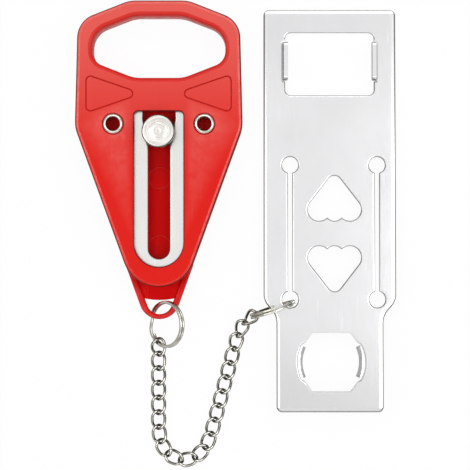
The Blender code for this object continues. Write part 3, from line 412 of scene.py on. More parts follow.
@dataclass(frozen=True)
class SheetSteel:
    """Bright rolled sheet steel: fine rolling lines, faint clouds, painted highlights along the
    edges, painted shade in the corners and painted shade towards both ends.
    """

    colour: Colour = (0.80, 0.79, 0.77)
    # Colour of the painted shade.
    shade_colour: Colour = (0.20, 0.20, 0.19)
    tones: Span = (0.93, 1.05)
    # Tone of the scratches and of the painted highlight along the edges.
    bright_tone: float = 1.15
    roughness: float = 0.20
    rougher_by_line: float = 0.10
    rougher_by_cloud: float = 0.06
    rougher_by_scratch: float = 0.05
    smoother_at_highlight: float = 0.10
    turn: float = 0.0
    line_depth: float = 0.000003
    scratch_height: float = 0.4
    line_waves: tuple[float, float, float] = (3200.0, 55.0, 3200.0)
    cloud_waves: float = 38.0
    scratches: Scratches = ((0.6, 1500.0, 0.10), (-0.9, 1800.0, 0.08))
    scratch_share: float = 0.25
    painted_light_share: float = 0.6
    # Painted shade: the face is darker towards both ends.
    dim_tone: float = 0.80
    dim_handle: Span = (0.0, 0.030)
    dim_tail: Span = (-0.080, -0.112)
    dim_shares: Span = (0.30, 0.70)

    def material(self, name: str) -> bpy.types.Material:
        """Makes the material.

        Args:
            name: Its name.

        Returns:
            The material.
        """
        graph = MaterialGraph(name)
        place = graph.place()
        height = graph.part(place, "Y")
        cloud = graph.noise(place, self.cloud_waves, detail=2.0)
        lines = graph.noise(graph.place(scale=self.line_waves, turn=self.turn), 1.0, detail=4.0)
        scratches = graph.scratches(self.turn, self.scratches)
        # Painted highlight along the rolled edges.
        painted_light = graph.painted_light()
        low, high = (scaled(self.colour, tone) for tone in self.tones)
        bright = scaled(self.colour, self.bright_tone)
        # Painted shade towards both ends of the face.
        dim = (graph.between(height, *self.dim_handle) * self.dim_shares[0]
               + graph.between(height, *self.dim_tail) * self.dim_shares[1])
        face = graph.mix(cloud * 0.5 + lines * 0.5, low, high)
        face = graph.mix(dim, face, scaled(self.colour, self.dim_tone))
        face = graph.mix(scratches * self.scratch_share, face, bright)
        face = graph.mix(painted_light * self.painted_light_share, face, bright)
        return graph.surface({
            # Painted shade in the corners, as the mesh carries it.
            "Base Color": graph.mix(graph.painted_shade(), face, self.shade_colour),
            "Metallic": 1.0,
            "Roughness": (self.roughness + self.rougher_by_line * (lines - 0.5)
                          + self.rougher_by_cloud * (cloud - 0.5) - self.smoother_at_highlight * painted_light
                          + self.rougher_by_scratch * scratches),
            "Normal": graph.bump(lines - self.scratch_height * scratches, self.line_depth),
        })


@dataclass(frozen=True)
class TurnedSteel:
    """Lathe-turned steel: broken rings about an upright axis, a fine feed mark and painted shade
    on the marked edges, grooves and rim.
    """

    colour: Colour = (0.84, 0.81, 0.78)
    # Dark tone of the rings, also the colour of the painted shade on the marked edges and grooves.
    dark: Colour = (0.44, 0.42, 0.39)
    # Colour of the darker painted shade on the rim.
    shade_colour: Colour = (0.16, 0.155, 0.14)
    ring_tone: float = 1.5
    painted_light_share: float = 0.45
    roughness: float = 0.22
    rougher_by_ring: float = 0.12
    rougher_by_feed: float = 0.05
    ring_waves: float = 1700.0
    spoke_waves: float = 190.0
    ring_range: Span = (0.38, 0.60)
    feed_waves: float = 22000.0
    feed_depth: float = 0.000004
    heights: Span = (0.7, 0.3)

    def material(self, name: str, axis: Span) -> bpy.types.Material:
        """Makes the material.

        Args:
            name: Its name.
            axis: Where the upright axis stands, x and y.

        Returns:
            The material.
        """
        graph = MaterialGraph(name)
        flat = graph.node("ShaderNodeVectorMath", {"operation": "MULTIPLY"},
                          {0: graph.place((*axis, 0.0)), 1: (1.0, 1.0, 0.0)})
        radius = graph.node("ShaderNodeVectorMath", {"operation": "LENGTH"}, {0: flat},
                            output="Value")
        across, along = (graph.part(flat, letter) * self.spoke_waves for letter in ("X", "Y"))
        rings = graph.noise(graph.vector(radius * self.ring_waves, across, along), 1.0, 3.0)
        feed = graph.math("SINE", radius * self.feed_waves) * 0.5 + 0.5
        worn_and_lit = graph.between(rings, *self.ring_range)
        face = graph.mix(worn_and_lit, scaled(self.dark, self.ring_tone), self.colour)
        # Painted shade on the marked edges and grooves.
        face = graph.mix(graph.painted_light() * self.painted_light_share, face, self.dark)
        return graph.surface({
            # Darker painted shade on the rim.
            "Base Color": graph.mix(graph.painted_shade(), face, self.shade_colour),
            "Metallic": 1.0,
            "Roughness": (self.roughness + self.rougher_by_ring * (rings - 0.5)
                          + self.rougher_by_feed * feed),
            "Normal": graph.bump(rings * self.heights[0] + feed * self.heights[1],
                                 self.feed_depth),
        })


@dataclass(frozen=True)
class NickelWire:
    """Nickel plated wire: bright, a little pitted, with a faint warm tarnish and painted shade on
    the links' flanks.
    """

    colour: Colour = (0.64, 0.63, 0.57)
    tarnish: Colour = (0.20, 0.185, 0.12)
    # Colour of the painted shade on the links' flanks.
    shade_colour: Colour = (0.10, 0.095, 0.075)
    tarnish_share: float = 0.6
    roughness: float = 0.12
    rougher_by_stain: float = 0.16
    rougher_by_pit: float = 0.05
    patch_waves: float = 420.0
    patch_range: Span = (0.48, 0.75)
    patch_share: float = 0.7
    pit_waves: float = 3600.0
    pit_range: Span = (0.66, 0.78)
    pit_share: float = 0.3
    pit_depth: float = 0.000008

    def material(self, name: str) -> bpy.types.Material:
        """Makes the material.

        Args:
            name: Its name.

        Returns:
            The material.
        """
        graph = MaterialGraph(name)
        place = graph.place()
        patches = graph.noise(place, self.patch_waves)
        pits = graph.noise(place, self.pit_waves, detail=2.0)
        stain = (graph.between(patches, *self.patch_range) * self.patch_share
                 + graph.between(pits, *self.pit_range) * self.pit_share)
        face = graph.mix(stain * self.tarnish_share, self.colour, self.tarnish)
        return graph.surface({
            # Painted shade on the links' flanks, as the mesh carries it.
            "Base Color": graph.mix(graph.painted_shade(), face, self.shade_colour),
            "Metallic": 1.0,
            "Roughness": (self.roughness + self.rougher_by_stain * stain
                          + self.rougher_by_pit * (pits - 0.5)),
            "Normal": graph.bump(1.0 - pits, self.pit_depth),
        })


def mirrored(right_half: Sequence[Corner]) -> list[Corner]:
    """Adds the mirror image of an outline's right half.

    Args:
        right_half: Corners from the outline's top to its bottom.

    Returns:
        The whole outline.
    """
    left_half = [(-corner[0], *corner[1:]) for corner in reversed(right_half) if corner[0] != 0]
    return list(right_half) + left_half


def rounded(corners: Sequence[Corner]) -> list[Vector]:
    """Rounds an outline's corners.

    Args:
        corners: Each corner's x, y and radius.

    Returns:
        The points of the outline.
    """
    points = []
    for index, (x, y, radius) in enumerate(corners):
        corner = Vector((x, y))
        before = (Vector(corners[index - 1][:2]) - corner).normalized()
        after = (Vector(corners[(index + 1) % len(corners)][:2]) - corner).normalized()
        turn = math.pi - before.angle(after)
        if radius == 0 or turn < math.radians(1.0):
            points.append(corner)
            continue
        centre = corner + (before + after).normalized() * (radius / math.cos(turn / 2))
        start = corner + before * (radius * math.tan(turn / 2)) - centre
        side = 1.0 if before.x * after.y - before.y * after.x < 0 else -1.0
        steps = max(2, math.ceil(turn / ARC_STEP))
        points += [centre + Matrix.Rotation(side * turn * step / steps, 2) @ start
                   for step in range(steps + 1)]
    return points


def arc(centre: Sequence[float], radius: float, from_deg: float, to_deg: float) -> list[Vector]:
    """Points on an arc.

    Args:
        centre: Its centre.
        radius: Its radius.
        from_deg: Where it starts.
        to_deg: Where it ends.

    Returns:
        The points, both ends included.
    """
    start = math.radians(from_deg)
    span = math.radians(to_deg) - start
    steps = max(2, math.ceil(abs(span) / ARC_STEP))
    angles = [start + span * step / steps for step in range(steps + 1)]
    return [Vector((centre[0] + radius * math.cos(a), centre[1] + radius * math.sin(a)))
            for a in angles]


def circle(centre: Sequence[float], radius: float) -> list[Vector]:
    """A round outline."""
    return arc(centre, radius, 0.0, 360.0)[:-1]


def counter_clockwise(points: list[Vector]) -> list[Vector]:
    """The same outline, running counter-clockwise."""
    area = sum(a.x * b.y - b.x * a.y for a, b in zip(points, points[1:] + points[:1]))
    return points if area > 0 else list(reversed(points))


def grown(points: list[Vector], amount: float) -> list[Vector]:
    """Moves an outline outwards.

    Args:
        points: A counter-clockwise outline.
        amount: How far each side moves.

    Returns:
        The new outline, point for point.
    """
    moved = []
    for index, point in enumerate(points):
        arriving = (point - points[index - 1]).normalized()
        leaving = (points[(index + 1) % len(points)] - point).normalized()
        normal = Vector((arriving.y + leaving.y, -arriving.x - leaving.x)).normalized()
        stretch = max(normal.dot(Vector((leaving.y, -leaving.x))), 0.5)
        moved.append(point + normal * (amount / stretch))
    return moved


def round_over(low: float, high: float, width: float, height: float,
               steps: int = 6) -> list[Level]:
    """Levels of a wall whose upper rim is rounded.

    Args:
        low: Height of its lower rim.
        high: Height of its upper rim.
        width: How far the rounding reaches in.
        height: How far it reaches down.
        steps: Steps of the rounding.

    Returns:
        The levels: height, inset and a painted highlight along the rounding.
    """
    turns = [math.pi / 2 * step / steps for step in range(steps + 1)]
    return [(low, 0.0, 0.0)] + [
        (high - height * (1 - math.sin(a)), width * (1 - math.cos(a)), math.sin(2 * a))
        for a in turns]


def rolled(low: float, high: float, lean: Span, corner: float) -> list[Level]:
    """Levels of a wall whose upper rim leans in gently above a tight corner.

    Args:
        low: Height of its lower rim.
        high: Height of its upper rim.
        lean: Width and height of the gentle part.
        corner: Radius of the corner below it.

    Returns:
        The levels: height, inset and a painted highlight on the corner and the leaning part.
    """
    width, height = lean
    steps = 4
    levels = round_over(low, high - height, corner, corner, steps)
    levels[-1] = (high - height, corner, 1.0)
    for step in range(1, steps + 1):
        part = step / steps
        levels.append((high - height * (1 - part) ** 2, corner + width * part, 1.0 - part))
    return levels


def shaded(levels: Sequence[Level], reach: float, painted_shade: float = 1.0) -> list[Level]:
    """The same wall with painted shade on its outermost part, in place of the painted highlight.
    """
    return [(z, inset, -painted_shade if inset <= reach else painted_light) for z, inset, painted_light in levels]


def straight(low: float, high: float) -> list[Level]:
    """Levels of a plain upright wall."""
    return [(low, 0.0, 0.0), (high, 0.0, 0.0)]


def raised(levels: Sequence[Level], height: float) -> list[Level]:
    """The same wall, raised by a height."""
    return [(height + z, inset, painted_light) for z, inset, painted_light in levels]


def flipped(levels: Sequence[Level], total: float) -> list[Level]:
    """The same wall upside down, with its heights taken from a total."""
    return [(total - z, inset, painted_light) for z, inset, painted_light in reversed(levels)]


def both_rims(low: float, high: float, width: float, height: float) -> list[Level]:
    """Levels of a wall whose two rims are rounded alike.

    Args:
        low: Height of its lower rim.
        high: Height of its upper rim.
        width: How far each rounding reaches in.
        height: How far it reaches down or up.

    Returns:
        The levels: height, inset and wear.
    """
    middle = (low + high) / 2
    upper = round_over(middle, high, width, height)
    return flipped(upper, low + high) + upper[1:]


class Solid:
    """A closed mesh put together from walls and the flat faces between them."""

    def __init__(self) -> None:
        """Starts an empty mesh that carries painted light and shade."""
        self.bm = bmesh.new()
        self.light_and_shade = self.bm.verts.layers.float.new(PAINTED_LIGHT_ATTRIBUTE)

    def loop(self, points: Iterable[Sequence[float]], light_and_shade: float = 0.0) -> list:
        """Adds a closed row of vertices.

        Args:
            points: Their places.
            light_and_shade: The painted light and shade that they carry.

        Returns:
            The vertices.
        """
        verts = [self.bm.verts.new(point) for point in points]
        for vert in verts:
            vert[self.light_and_shade] = light_and_shade
        return verts

    def bridge(self, loops: Sequence[list], closed: bool = False) -> None:
        """Joins rows of vertices, each to the next.

        Args:
            loops: Rows with the same number of vertices.
            closed: Joins the last row to the first as well.
        """
        pairs = list(zip(loops, loops[1:]))
        if closed:
            pairs.append((loops[-1], loops[0]))
        for first, second in pairs:
            for index in range(len(first)):
                following = (index + 1) % len(first)
                self.bm.faces.new((first[index], first[following], second[following],
                                   second[index]))

    def wall(self, points: list[Vector], levels: Sequence[Level], is_hole: bool = False,
             facing: Span = (1.0, 1.0)) -> Rims:
        """Adds a wall that follows an outline.

        Args:
            points: The outline.
            levels: Height, inset and painted light and shade of each row of the wall.
            is_hole: The wall stands round a hole, so an inset makes it wider.
            facing: Shares of the painted shade where the wall faces +Y and where it faces -Y.

        Returns:
            The edges of its first and its last row.
        """
        points = counter_clockwise(points)
        north, south = facing
        # The painted shade is made weaker or stronger by which way the wall faces.
        outward = [(far - near).normalized().y * (-1 if is_hole else 1)
                   for near, far in zip(points, grown(points, NUDGE))]
        shares = [1.0 + (north - 1.0) * max(y, 0.0) + (south - 1.0) * max(-y, 0.0)
                  for y in outward]
        loops = []
        for z, inset, light_and_shade in levels:
            outline = grown(points, inset if is_hole else -inset)
            loops.append(self.loop([(p.x, p.y, z) for p in outline], light_and_shade))
            if light_and_shade < 0.0:
                for vert, share in zip(loops[-1], shares):
                    vert[self.light_and_shade] = light_and_shade * share
        self.bridge(loops)
        first, last = [[self.bm.edges.get((row[i - 1], row[i])) for i in range(len(row))]
                       for row in (loops[0], loops[-1])]
        return first, last

    def fill(self, loops: Sequence[list], up: bool) -> None:
        """Closes the flat area between rows of edges.

        Args:
            loops: The rows, each a closed one.
            up: The area faces up, not down.
        """
        edges = [edge for row in loops for edge in row]
        bmesh.ops.triangle_fill(self.bm, edges=edges, use_beauty=True,
                                normal=(0.0, 0.0, 1.0 if up else -1.0))

    def recess(self, points: list[Vector], levels: Sequence[Level]) -> list:
        """Adds a hole with a floor.

        Args:
            points: Its outline.
            levels: Height, inset and painted light and shade of each row, from the face down to
                the floor.

        Returns:
            The edges round it in the face.
        """
        rim, floor = self.wall(points, levels, is_hole=True)
        self.fill([floor], up=True)
        return rim

    def cap(self, lower: Sequence[list], upper: Sequence[list]) -> None:
        """Closes the flat undersides between some edges and the flat tops between others."""
        self.fill(lower, up=False)
        self.fill(upper, up=True)

    def lathe(self, profile: Sequence[Level], centre: Sequence[float]) -> None:
        """Turns a profile about an upright axis.

        Args:
            profile: Radius, height and painted light and shade, from top to bottom.
            centre: The axis.
        """
        rows = []
        for radius, z, light_and_shade in profile:
            ring = [(centre[0], centre[1])] if radius == 0 else circle(centre, radius)
            rows.append(self.loop([(p[0], p[1], z) for p in ring], light_and_shade))
        count = max(len(row) for row in rows)
        pairs = list(zip(rows, rows[1:]))
        if profile[0][0] != 0:
            pairs.append((rows[-1], rows[0]))
        for upper, lower in pairs:
            for index in range(count):
                following = (index + 1) % count
                corners = [upper[index % len(upper)], lower[index % len(lower)],
                           lower[following % len(lower)], upper[following % len(upper)]]
                self.bm.faces.new(list(dict.fromkeys(corners)))

    def object(self, name: str) -> bpy.types.Object:
        """Ends the mesh.

        Args:
            name: The object's name.

        Returns:
            The object, shown in the scene.
        """
        bmesh.ops.recalc_face_normals(self.bm, faces=self.bm.faces)
        mesh = bpy.data.meshes.new(name)
        self.bm.to_mesh(mesh)
        self.bm.free()
        return shown(name, mesh)


def shown(name: str, data: bpy.types.ID) -> bpy.types.Object:
    """Puts a mesh, a lamp or a camera in the scene.

    Args:
        name: The object's name.
        data: What it shows.

    Returns:
        The object.
    """
    item = bpy.data.objects.new(name, data)
    bpy.context.scene.collection.objects.link(item)
    return item


def plain_mesh(item: bpy.types.Object, name: str) -> bpy.types.Mesh:
    """Applies an object's modifiers.

    Args:
        item: The object, which is removed.
        name: The mesh's name.

    Returns:
        The finished mesh.
    """
    graph = bpy.context.evaluated_depsgraph_get()
    mesh = bpy.data.meshes.new_from_object(item.evaluated_get(graph))
    mesh.name = name
    bpy.data.objects.remove(item, do_unlink=True)
    return mesh


def joined(item: bpy.types.Object, others: Iterable[bpy.types.Object]) -> bpy.types.Object:
    """Unites solids into one.

    Args:
        item: The main solid.
        others: The solids that join it; they are removed.

    Returns:
        The united object, under the main solid's name.
    """
    name = item.name
    others = list(others)
    for other in others:
        boolean = item.modifiers.new(other.name, "BOOLEAN")
        boolean.operation = "UNION"
        boolean.solver = "EXACT"
        boolean.object = other
    mesh = plain_mesh(item, name)
    for other in others:
        bpy.data.objects.remove(other, do_unlink=True)
    return shown(name, mesh)


def dress(item: bpy.types.Object, material: bpy.types.Material, body: str,
          nodes: Sequence[str]) -> None:
    """Shades a piece, gives it its material and puts it in place of CAD nodes.

    Args:
        item: The piece.
        material: Its material.
        body: The CAD body that it rides on.
        nodes: The CAD nodes that it stands for.
    """
    item.data.materials.clear()
    item.data.materials.append(material)
    item.data.shade_smooth()
    item.data.set_sharp_from_angle(angle=SMOOTH_BELOW)
    weighted = item.modifiers.new("even_normals", "WEIGHTED_NORMAL")
    weighted.keep_sharp = True
    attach(item, body)
    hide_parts(*nodes)
    LOG.info("%s: %d faces on %s", item.name, len(item.data.polygons), body)


@dataclass
class LockBody:
    """The moulded body: two shells, the guide plate between them and the hollow rivets."""

    front_plastic: MouldedPlastic
    back_plastic: MouldedPlastic
    steel: SheetSteel
    rivet_steel: NickelWire
    back_depth: float = 0.0070
    front_depth: float = 0.0047
    edge: float = 0.00145
    back_edge_steps: int = 8
    front_edge_steps: int = 12
    # How far the painted shade reaches in along the outline, the keyhole, the window and the grip.
    outline_shade_reach: float = 0.00045
    slot_shade_reach: float = 0.0003
    window_shade_reach: float = 0.0004
    grip_shade_reach: float = 0.0016
    seam: float = 0.0002
    # The painted highlight along the seam between the shells.
    seam_highlight: Span = (0.2, 0.3)
    handle_corners: tuple[Corner, ...] = ((0.0106, 0.0341, 0.012), (0.0294, 0.0267, 0.0090))
    hip_half_width: float = 0.0304
    hip_y: float = -0.0119
    hip_radius: float = 0.012
    front_end_y: float = -0.06965
    loop_end_y: float = -0.08156
    tip_y: float = -0.09526
    grip_corners: tuple[Corner, ...] = ((0.0089, 0.0285, 0.012), (0.0241, 0.0226, 0.0078),
                                        (0.0241, 0.0120, 0.0055), (0.0089, 0.0061, 0.012))
    # The painted shade across the grip's rounding.
    grip_shade: float = 0.10
    grip_lip: float = 0.00003
    panel_corners: tuple[Corner, ...] = ((0.0061, 0.0003, 0.0016), (0.0262, 0.0072, 0.0016),
                                         (0.0262, -0.0066, 0.0016))
    # The panels' groove: height, inset and a painted shade in the groove, row by row.
    panel_groove: tuple[Level, ...] = (
        (0.0, 0.00034, 0.0), (-0.00012, 0.00020, -0.15), (-0.00050, 0.00010, -0.4),
        (-0.00050, -0.00008, -0.4), (-0.00026, -0.00018, -0.15), (-0.00018, -0.00032, 0.0))
    guide_thickness: float = 0.0015
    guide_edge: float = 0.0003
    guide_top_y: float = -0.0026
    ear: float = 0.0042
    ear_radius: float = 0.0018
    strip_rim: float = 0.0015
    keyhole_corners: tuple[Corner, ...] = ((0.0059, -0.0050, 0.0012), (0.0059, -0.0086, 0.0012))
    funnel_y: float = -0.0182
    funnel_radius: float = 0.0060
    slot_half_width: float = 0.00395
    slot_end_y: float = -0.0595
    slot_lean: Span = (0.0004, 0.00002)
    window_half_width: float = 0.0089
    window_top_y: float = -0.0061
    window_corner: float = 0.0016
    window_edge: float = 0.0005
    window_below_slot: float = 0.0028
    channel_half_width: float = 0.0066
    channel_floor: float = 0.0032
    channel_ends: Span = (-0.0096, -0.0560)
    channel_fillet: tuple[Level, ...] = ((0.0, -0.0003, 0.0), (0.0001, -0.0001, 0.0),
                                         (0.0003, 0.0, 0.0))
    pin_marks: Span = (-0.0299, -0.0549)
    pin_radius: float = 0.0041
    # The pin marks' groove: height, inset and painted light, a painted shade in the groove and a
    # painted highlight at its edge.
    pin_groove: tuple[Level, ...] = (
        (0.0, 0.00014, 0.0), (-0.00010, 0.00005, -0.3), (-0.00010, -0.00005, 0.0),
        (0.0, -0.00014, 0.6), (0.0, -0.00020, 0.0))
    rivet_x: float = 0.0165
    rivet_y: float = -0.0106
    rivet_barrel: float = 0.0030
    rivet_flange: float = 0.00365
    rivet_wall: float = 0.0005
    rivet_height: float = 0.0008
    rivet_sides: int = 64
    rivet_floor: float = 0.0030
    seat_depth: float = 0.0007
    seat_edge: float = 0.0001
    # The painted highlight on the rivet seats' edge.
    seat_highlight: float = 0.5
    loop_bar: float = 0.0022
    loop_end_bar: float = 0.0018
    loop_low: float = 0.0030
    loop_high: float = 0.0059
    loop_edge: float = 0.0008
    # How far and how dark the painted shade runs along the loop's outline.
    loop_shade_reach: float = 0.00025
    loop_shade: float = 0.8
    loop_root: float = 0.0080
    loop_floor_y: float = -0.0737
    loop_floor_bow: float = 0.0009
    loop_floor_depth: float = 0.0010
    loop_floor_edge: float = 0.0004

    @property
    def front_low(self) -> float:
        """Height of the front shell's and the guide plate's underside."""
        return self.back_depth + SEAT_GAP

    @property
    def front(self) -> float:
        """Height of the body's front face."""
        return self.front_low + self.front_depth

    @property
    def guide_top(self) -> float:
        """Height of the guide plate's face."""
        return self.front_low + self.guide_thickness

    @property
    def taper(self) -> float:
        """Lean of the tapered sides, which would meet at the tip."""
        return math.atan2(self.hip_half_width, self.hip_y - self.tip_y)

    @property
    def window_end_y(self) -> float:
        """Centre of the arc that ends the window."""
        return self.slot_end_y - self.window_below_slot + self.window_half_width

    def half_width(self, y: float) -> float:
        """Half the body's width at a height on its tapered sides."""
        return self.hip_half_width - (self.hip_y - y) * math.tan(self.taper)

    def end_radius(self, tip_y: float, end_y: float) -> float:
        """Radius that makes tapered sides which would meet at a tip stop at a height."""
        lean = math.sin(self.taper)
        return (end_y - tip_y) * lean / (1 - lean)

    def outline(self) -> list[Vector]:
        """Outline of both shells.

        Returns:
            The points, from the handle's top.
        """
        return rounded(mirrored([
            *self.handle_corners, (self.hip_half_width, self.hip_y, self.hip_radius),
            (0.0, self.tip_y, self.end_radius(self.tip_y, self.front_end_y))]))

    def window(self) -> list[Vector]:
        """Outline of the window.

        Returns:
            The points.
        """
        half, corner = self.window_half_width, self.window_corner
        top = self.window_top_y - corner
        return (arc((half - corner, top), corner, 0.0, 90.0)
                + arc((corner - half, top), corner, 90.0, 180.0)
                + arc((0.0, self.window_end_y), half, 180.0, 360.0))

    def strip(self, corners: Sequence[Corner], half: float, end: float) -> list[Vector]:
        """Outline of a strip that ends below in a half circle.

        Args:
            corners: Its right corners from the top down.
            half: Half its width at the half circle.
            end: Height of the half circle's centre.

        Returns:
            The outline.
        """
        upper = rounded(mirrored([*corners, (half, end, 0.0)]))
        right, left = ([p for p in upper if side * p.x > 0 and p.y > end] for side in (1, -1))
        return counter_clockwise(right + arc((0.0, end), half, 360.0, 180.0) + left)

    def guide(self) -> list[Vector]:
        """Outline of the guide plate: ears for the rivets above a long strip.

        Returns:
            The points.
        """
        ear, low, radius = self.rivet_x + self.ear, self.rivet_y - self.ear, self.ear_radius
        half = self.window_half_width + self.strip_rim
        return self.strip([(ear, self.guide_top_y, radius), (ear, low, radius),
                           (half, low, radius)], half, self.window_end_y)

    def keyhole(self) -> list[Vector]:
        """Outline of the slot, funnelled from wide to its running width.

        Returns:
            The points.
        """
        half = self.slot_half_width
        return self.strip([*self.keyhole_corners, (half, self.funnel_y, self.funnel_radius)],
                          half, self.slot_end_y + half)

    def panel(self, side: int) -> list[Vector]:
        """Outline of a triangular panel on the left (-1) or the right (1)."""
        return rounded([(side * x, y, radius) for x, y, radius in self.panel_corners])

    def wedge(self, root_y: float, inset: float, end_y: float) -> list[Vector]:
        """The body's pointed end below a height, as it runs round the loop.

        Args:
            root_y: Where it starts.
            inset: How far its sides lie inside the body's.
            end_y: Where its rounded point ends.

        Returns:
            The outline.
        """
        half = self.half_width(root_y) - inset / math.cos(self.taper)
        tip_y = root_y - half / math.tan(self.taper)
        return rounded(mirrored([(half, root_y, 0.0),
                                 (0.0, tip_y, self.end_radius(tip_y, end_y))]))

    def bore(self, solid: Solid, side: int, levels: Sequence[Level]) -> Rims:
        """Adds the wall of one rivet hole to a solid."""
        centre = (side * self.rivet_x, self.rivet_y)
        return solid.wall(circle(centre, self.rivet_barrel + SEAT_GAP), levels, is_hole=True)

    def front_shell(self) -> bpy.types.Object:
        """Makes the front shell.

        Returns:
            The shell with its handle, window, rivet seats and two outlined
            panels.
        """
        shell = Solid()
        low, top = self.front_low, self.front
        ceiling, seat = self.guide_top + SEAT_GAP, top - self.seat_depth
        # Painted highlight along the rounded edge and the seam; painted shade along the outline's
        # edge, across the grip's rounding and along the window's edge.
        rounding = round_over(low + self.seam, top, self.edge, self.edge, self.front_edge_steps)
        rounding.insert(0, (low, self.seam, self.seam_highlight[1]))
        outer = shell.wall(self.outline(), shaded(rounding, self.outline_shade_reach))
        band = shaded(rounding, self.grip_shade_reach, self.grip_shade)
        band.append((top, self.edge + self.grip_lip, 0.0))
        grip = shell.wall(rounded(mirrored(self.grip_corners)), band, is_hole=True)
        pocket = shell.wall(grown(self.guide(), SEAT_GAP), straight(low, ceiling), is_hole=True)
        rim = round_over(ceiling, top, self.window_edge, self.window_edge)
        window = shell.wall(self.window(), shaded(rim, self.window_shade_reach), is_hole=True)
        flange = self.rivet_flange - self.rivet_barrel
        # The rivet seats' edge carries a painted highlight.
        recess = [*straight(ceiling, seat), (seat, flange, 0.0),
                  (top - self.seat_edge, flange, 0.0),
                  (top, flange + self.seat_edge, self.seat_highlight)]
        faces, ceilings = [outer[1], grip[1], window[1]], [pocket[1], window[0]]
        for side in SIDES:
            lower, upper = self.bore(shell, side, recess)
            ceilings.append(lower)
            faces += [upper, shell.recess(self.panel(side), raised(self.panel_groove, top))]
        shell.fill(faces, up=True)
        shell.fill(ceilings, up=False)
        shell.fill([outer[0], grip[0], pocket[0]], up=False)
        return shell.object("front_shell_moulding")

    def back_shell(self) -> bpy.types.Object:
        """Makes the back shell.

        Returns:
            The shell with the knob's channel, blind rivet holes and the tab
            with the ring's loop.
        """
        shell = Solid()
        top, floor = self.back_depth, self.channel_floor
        # Painted highlight along the rounded edge and the seam.
        rounding = flipped(round_over(0.0, top, self.edge, self.edge, self.back_edge_steps), top)
        rounding[-1] = (top - self.seam, 0.0, self.seam_highlight[0])
        rounding.append((top, self.seam, self.seam_highlight[1]))
        outer = shell.wall(self.outline(), rounding)
        # Painted light: the grip's wall carries a full painted highlight all over.
        worn_and_lit = [(z, inset, 1.0) for z, inset, _ in rounding]
        grip = shell.wall(rounded(mirrored(self.grip_corners)), worn_and_lit, is_hole=True)
        (high, low), half = self.channel_ends, self.channel_half_width
        channel = shell.wall(arc((0.0, high), half, 0.0, 180.0)
                             + arc((0.0, low), half, 180.0, 360.0),
                             [*raised(self.channel_fillet, floor), (top - self.seam, 0.0, 0.0),
                              (top, self.seam, self.seam_highlight[1])], is_hole=True)
        # Pin marks with a painted shade in the groove and a painted highlight at its edge.
        marks = [shell.recess(circle((0.0, y), self.pin_radius), raised(self.pin_groove, floor))
                 for y in self.pin_marks]
        shell.fill([channel[0], *marks], up=True)
        faces = [outer[1], grip[1], channel[1]]
        for side in SIDES:
            foot, rim = self.bore(shell, side, straight(self.rivet_floor, top))
            shell.fill([foot], up=True)
            faces.append(rim)
        shell.fill(faces, up=True)
        shell.fill([outer[0], grip[0]], up=False)
        return joined(shell.object("back_shell_moulding"), [self.loop_rims(), self.loop_floor()])

    def loop_floor(self) -> bpy.types.Object:
        """Makes the recessed floor between the loop's rims.

        Returns:
            The solid, its lower edge bowed and rounded.
        """
        inset = self.loop_bar / 2 / math.cos(self.taper)
        root = self.front_end_y + self.loop_root
        wide, half = (self.half_width(y) - inset for y in (root, self.loop_floor_y))
        bow, edge = self.loop_floor_bow, self.loop_floor_edge
        radius = (half ** 2 + bow ** 2) / (2 * bow)
        spread = math.degrees(math.asin(half / radius))
        centre = (0.0, self.loop_floor_y - bow + radius)
        points = [Vector((-wide, root)), *arc(centre, radius, 270.0 - spread, 270.0 + spread),
                  Vector((wide, root))]
        low, high = self.loop_low + edge / 2, self.loop_high - self.loop_floor_depth
        floor = Solid()
        lower, upper = floor.wall(points, both_rims(low, high, edge, edge))
        floor.cap([lower], [upper])
        return floor.object("loop_floor")

    def loop_rims(self) -> bpy.types.Object:
        """Makes the rims that run down from the body and round the ring's opening.

        Returns:
            The solid.
        """
        rims = Solid()
        root, size = self.front_end_y + self.loop_root, self.loop_edge
        # Painted highlight along the rounded rims and painted shade along their outer edge.
        levels = shaded(both_rims(self.loop_low, self.loop_high, size, size),
                        self.loop_shade_reach, self.loop_shade)
        outer = rims.wall(self.wedge(root, -self.seam, self.loop_end_y), levels)
        inner = rims.wall(self.wedge(root - self.loop_root / 2, self.loop_bar,
                                     self.loop_end_y + self.loop_end_bar), levels, is_hole=True)
        rims.fill([outer[1], inner[1]], up=True)
        rims.fill([outer[0], inner[0]], up=False)
        return rims.object("loop_rims")

    def guide_plate(self) -> bpy.types.Object:
        """Makes the guide plate with the keyhole slot.

        Returns:
            The plate, its edges lightly rolled.
        """
        plate = Solid()
        low, high, edge = self.front_low, self.guide_top, self.guide_edge
        # Painted highlight along the rolled edges and the keyhole's lean, painted shade along the
        # keyhole's edge.
        levels = both_rims(low, high, edge, edge)
        slot = levels[:len(levels) // 2]
        slot += rolled((low + high) / 2, high, self.slot_lean, edge)[1:]
        walls = [plate.wall(self.guide(), levels),
                 plate.wall(self.keyhole(), shaded(slot, self.slot_shade_reach), is_hole=True),
                 *(self.bore(plate, side, levels) for side in SIDES)]
        plate.cap(*zip(*walls))
        return plate.object("guide_plate_sheet")

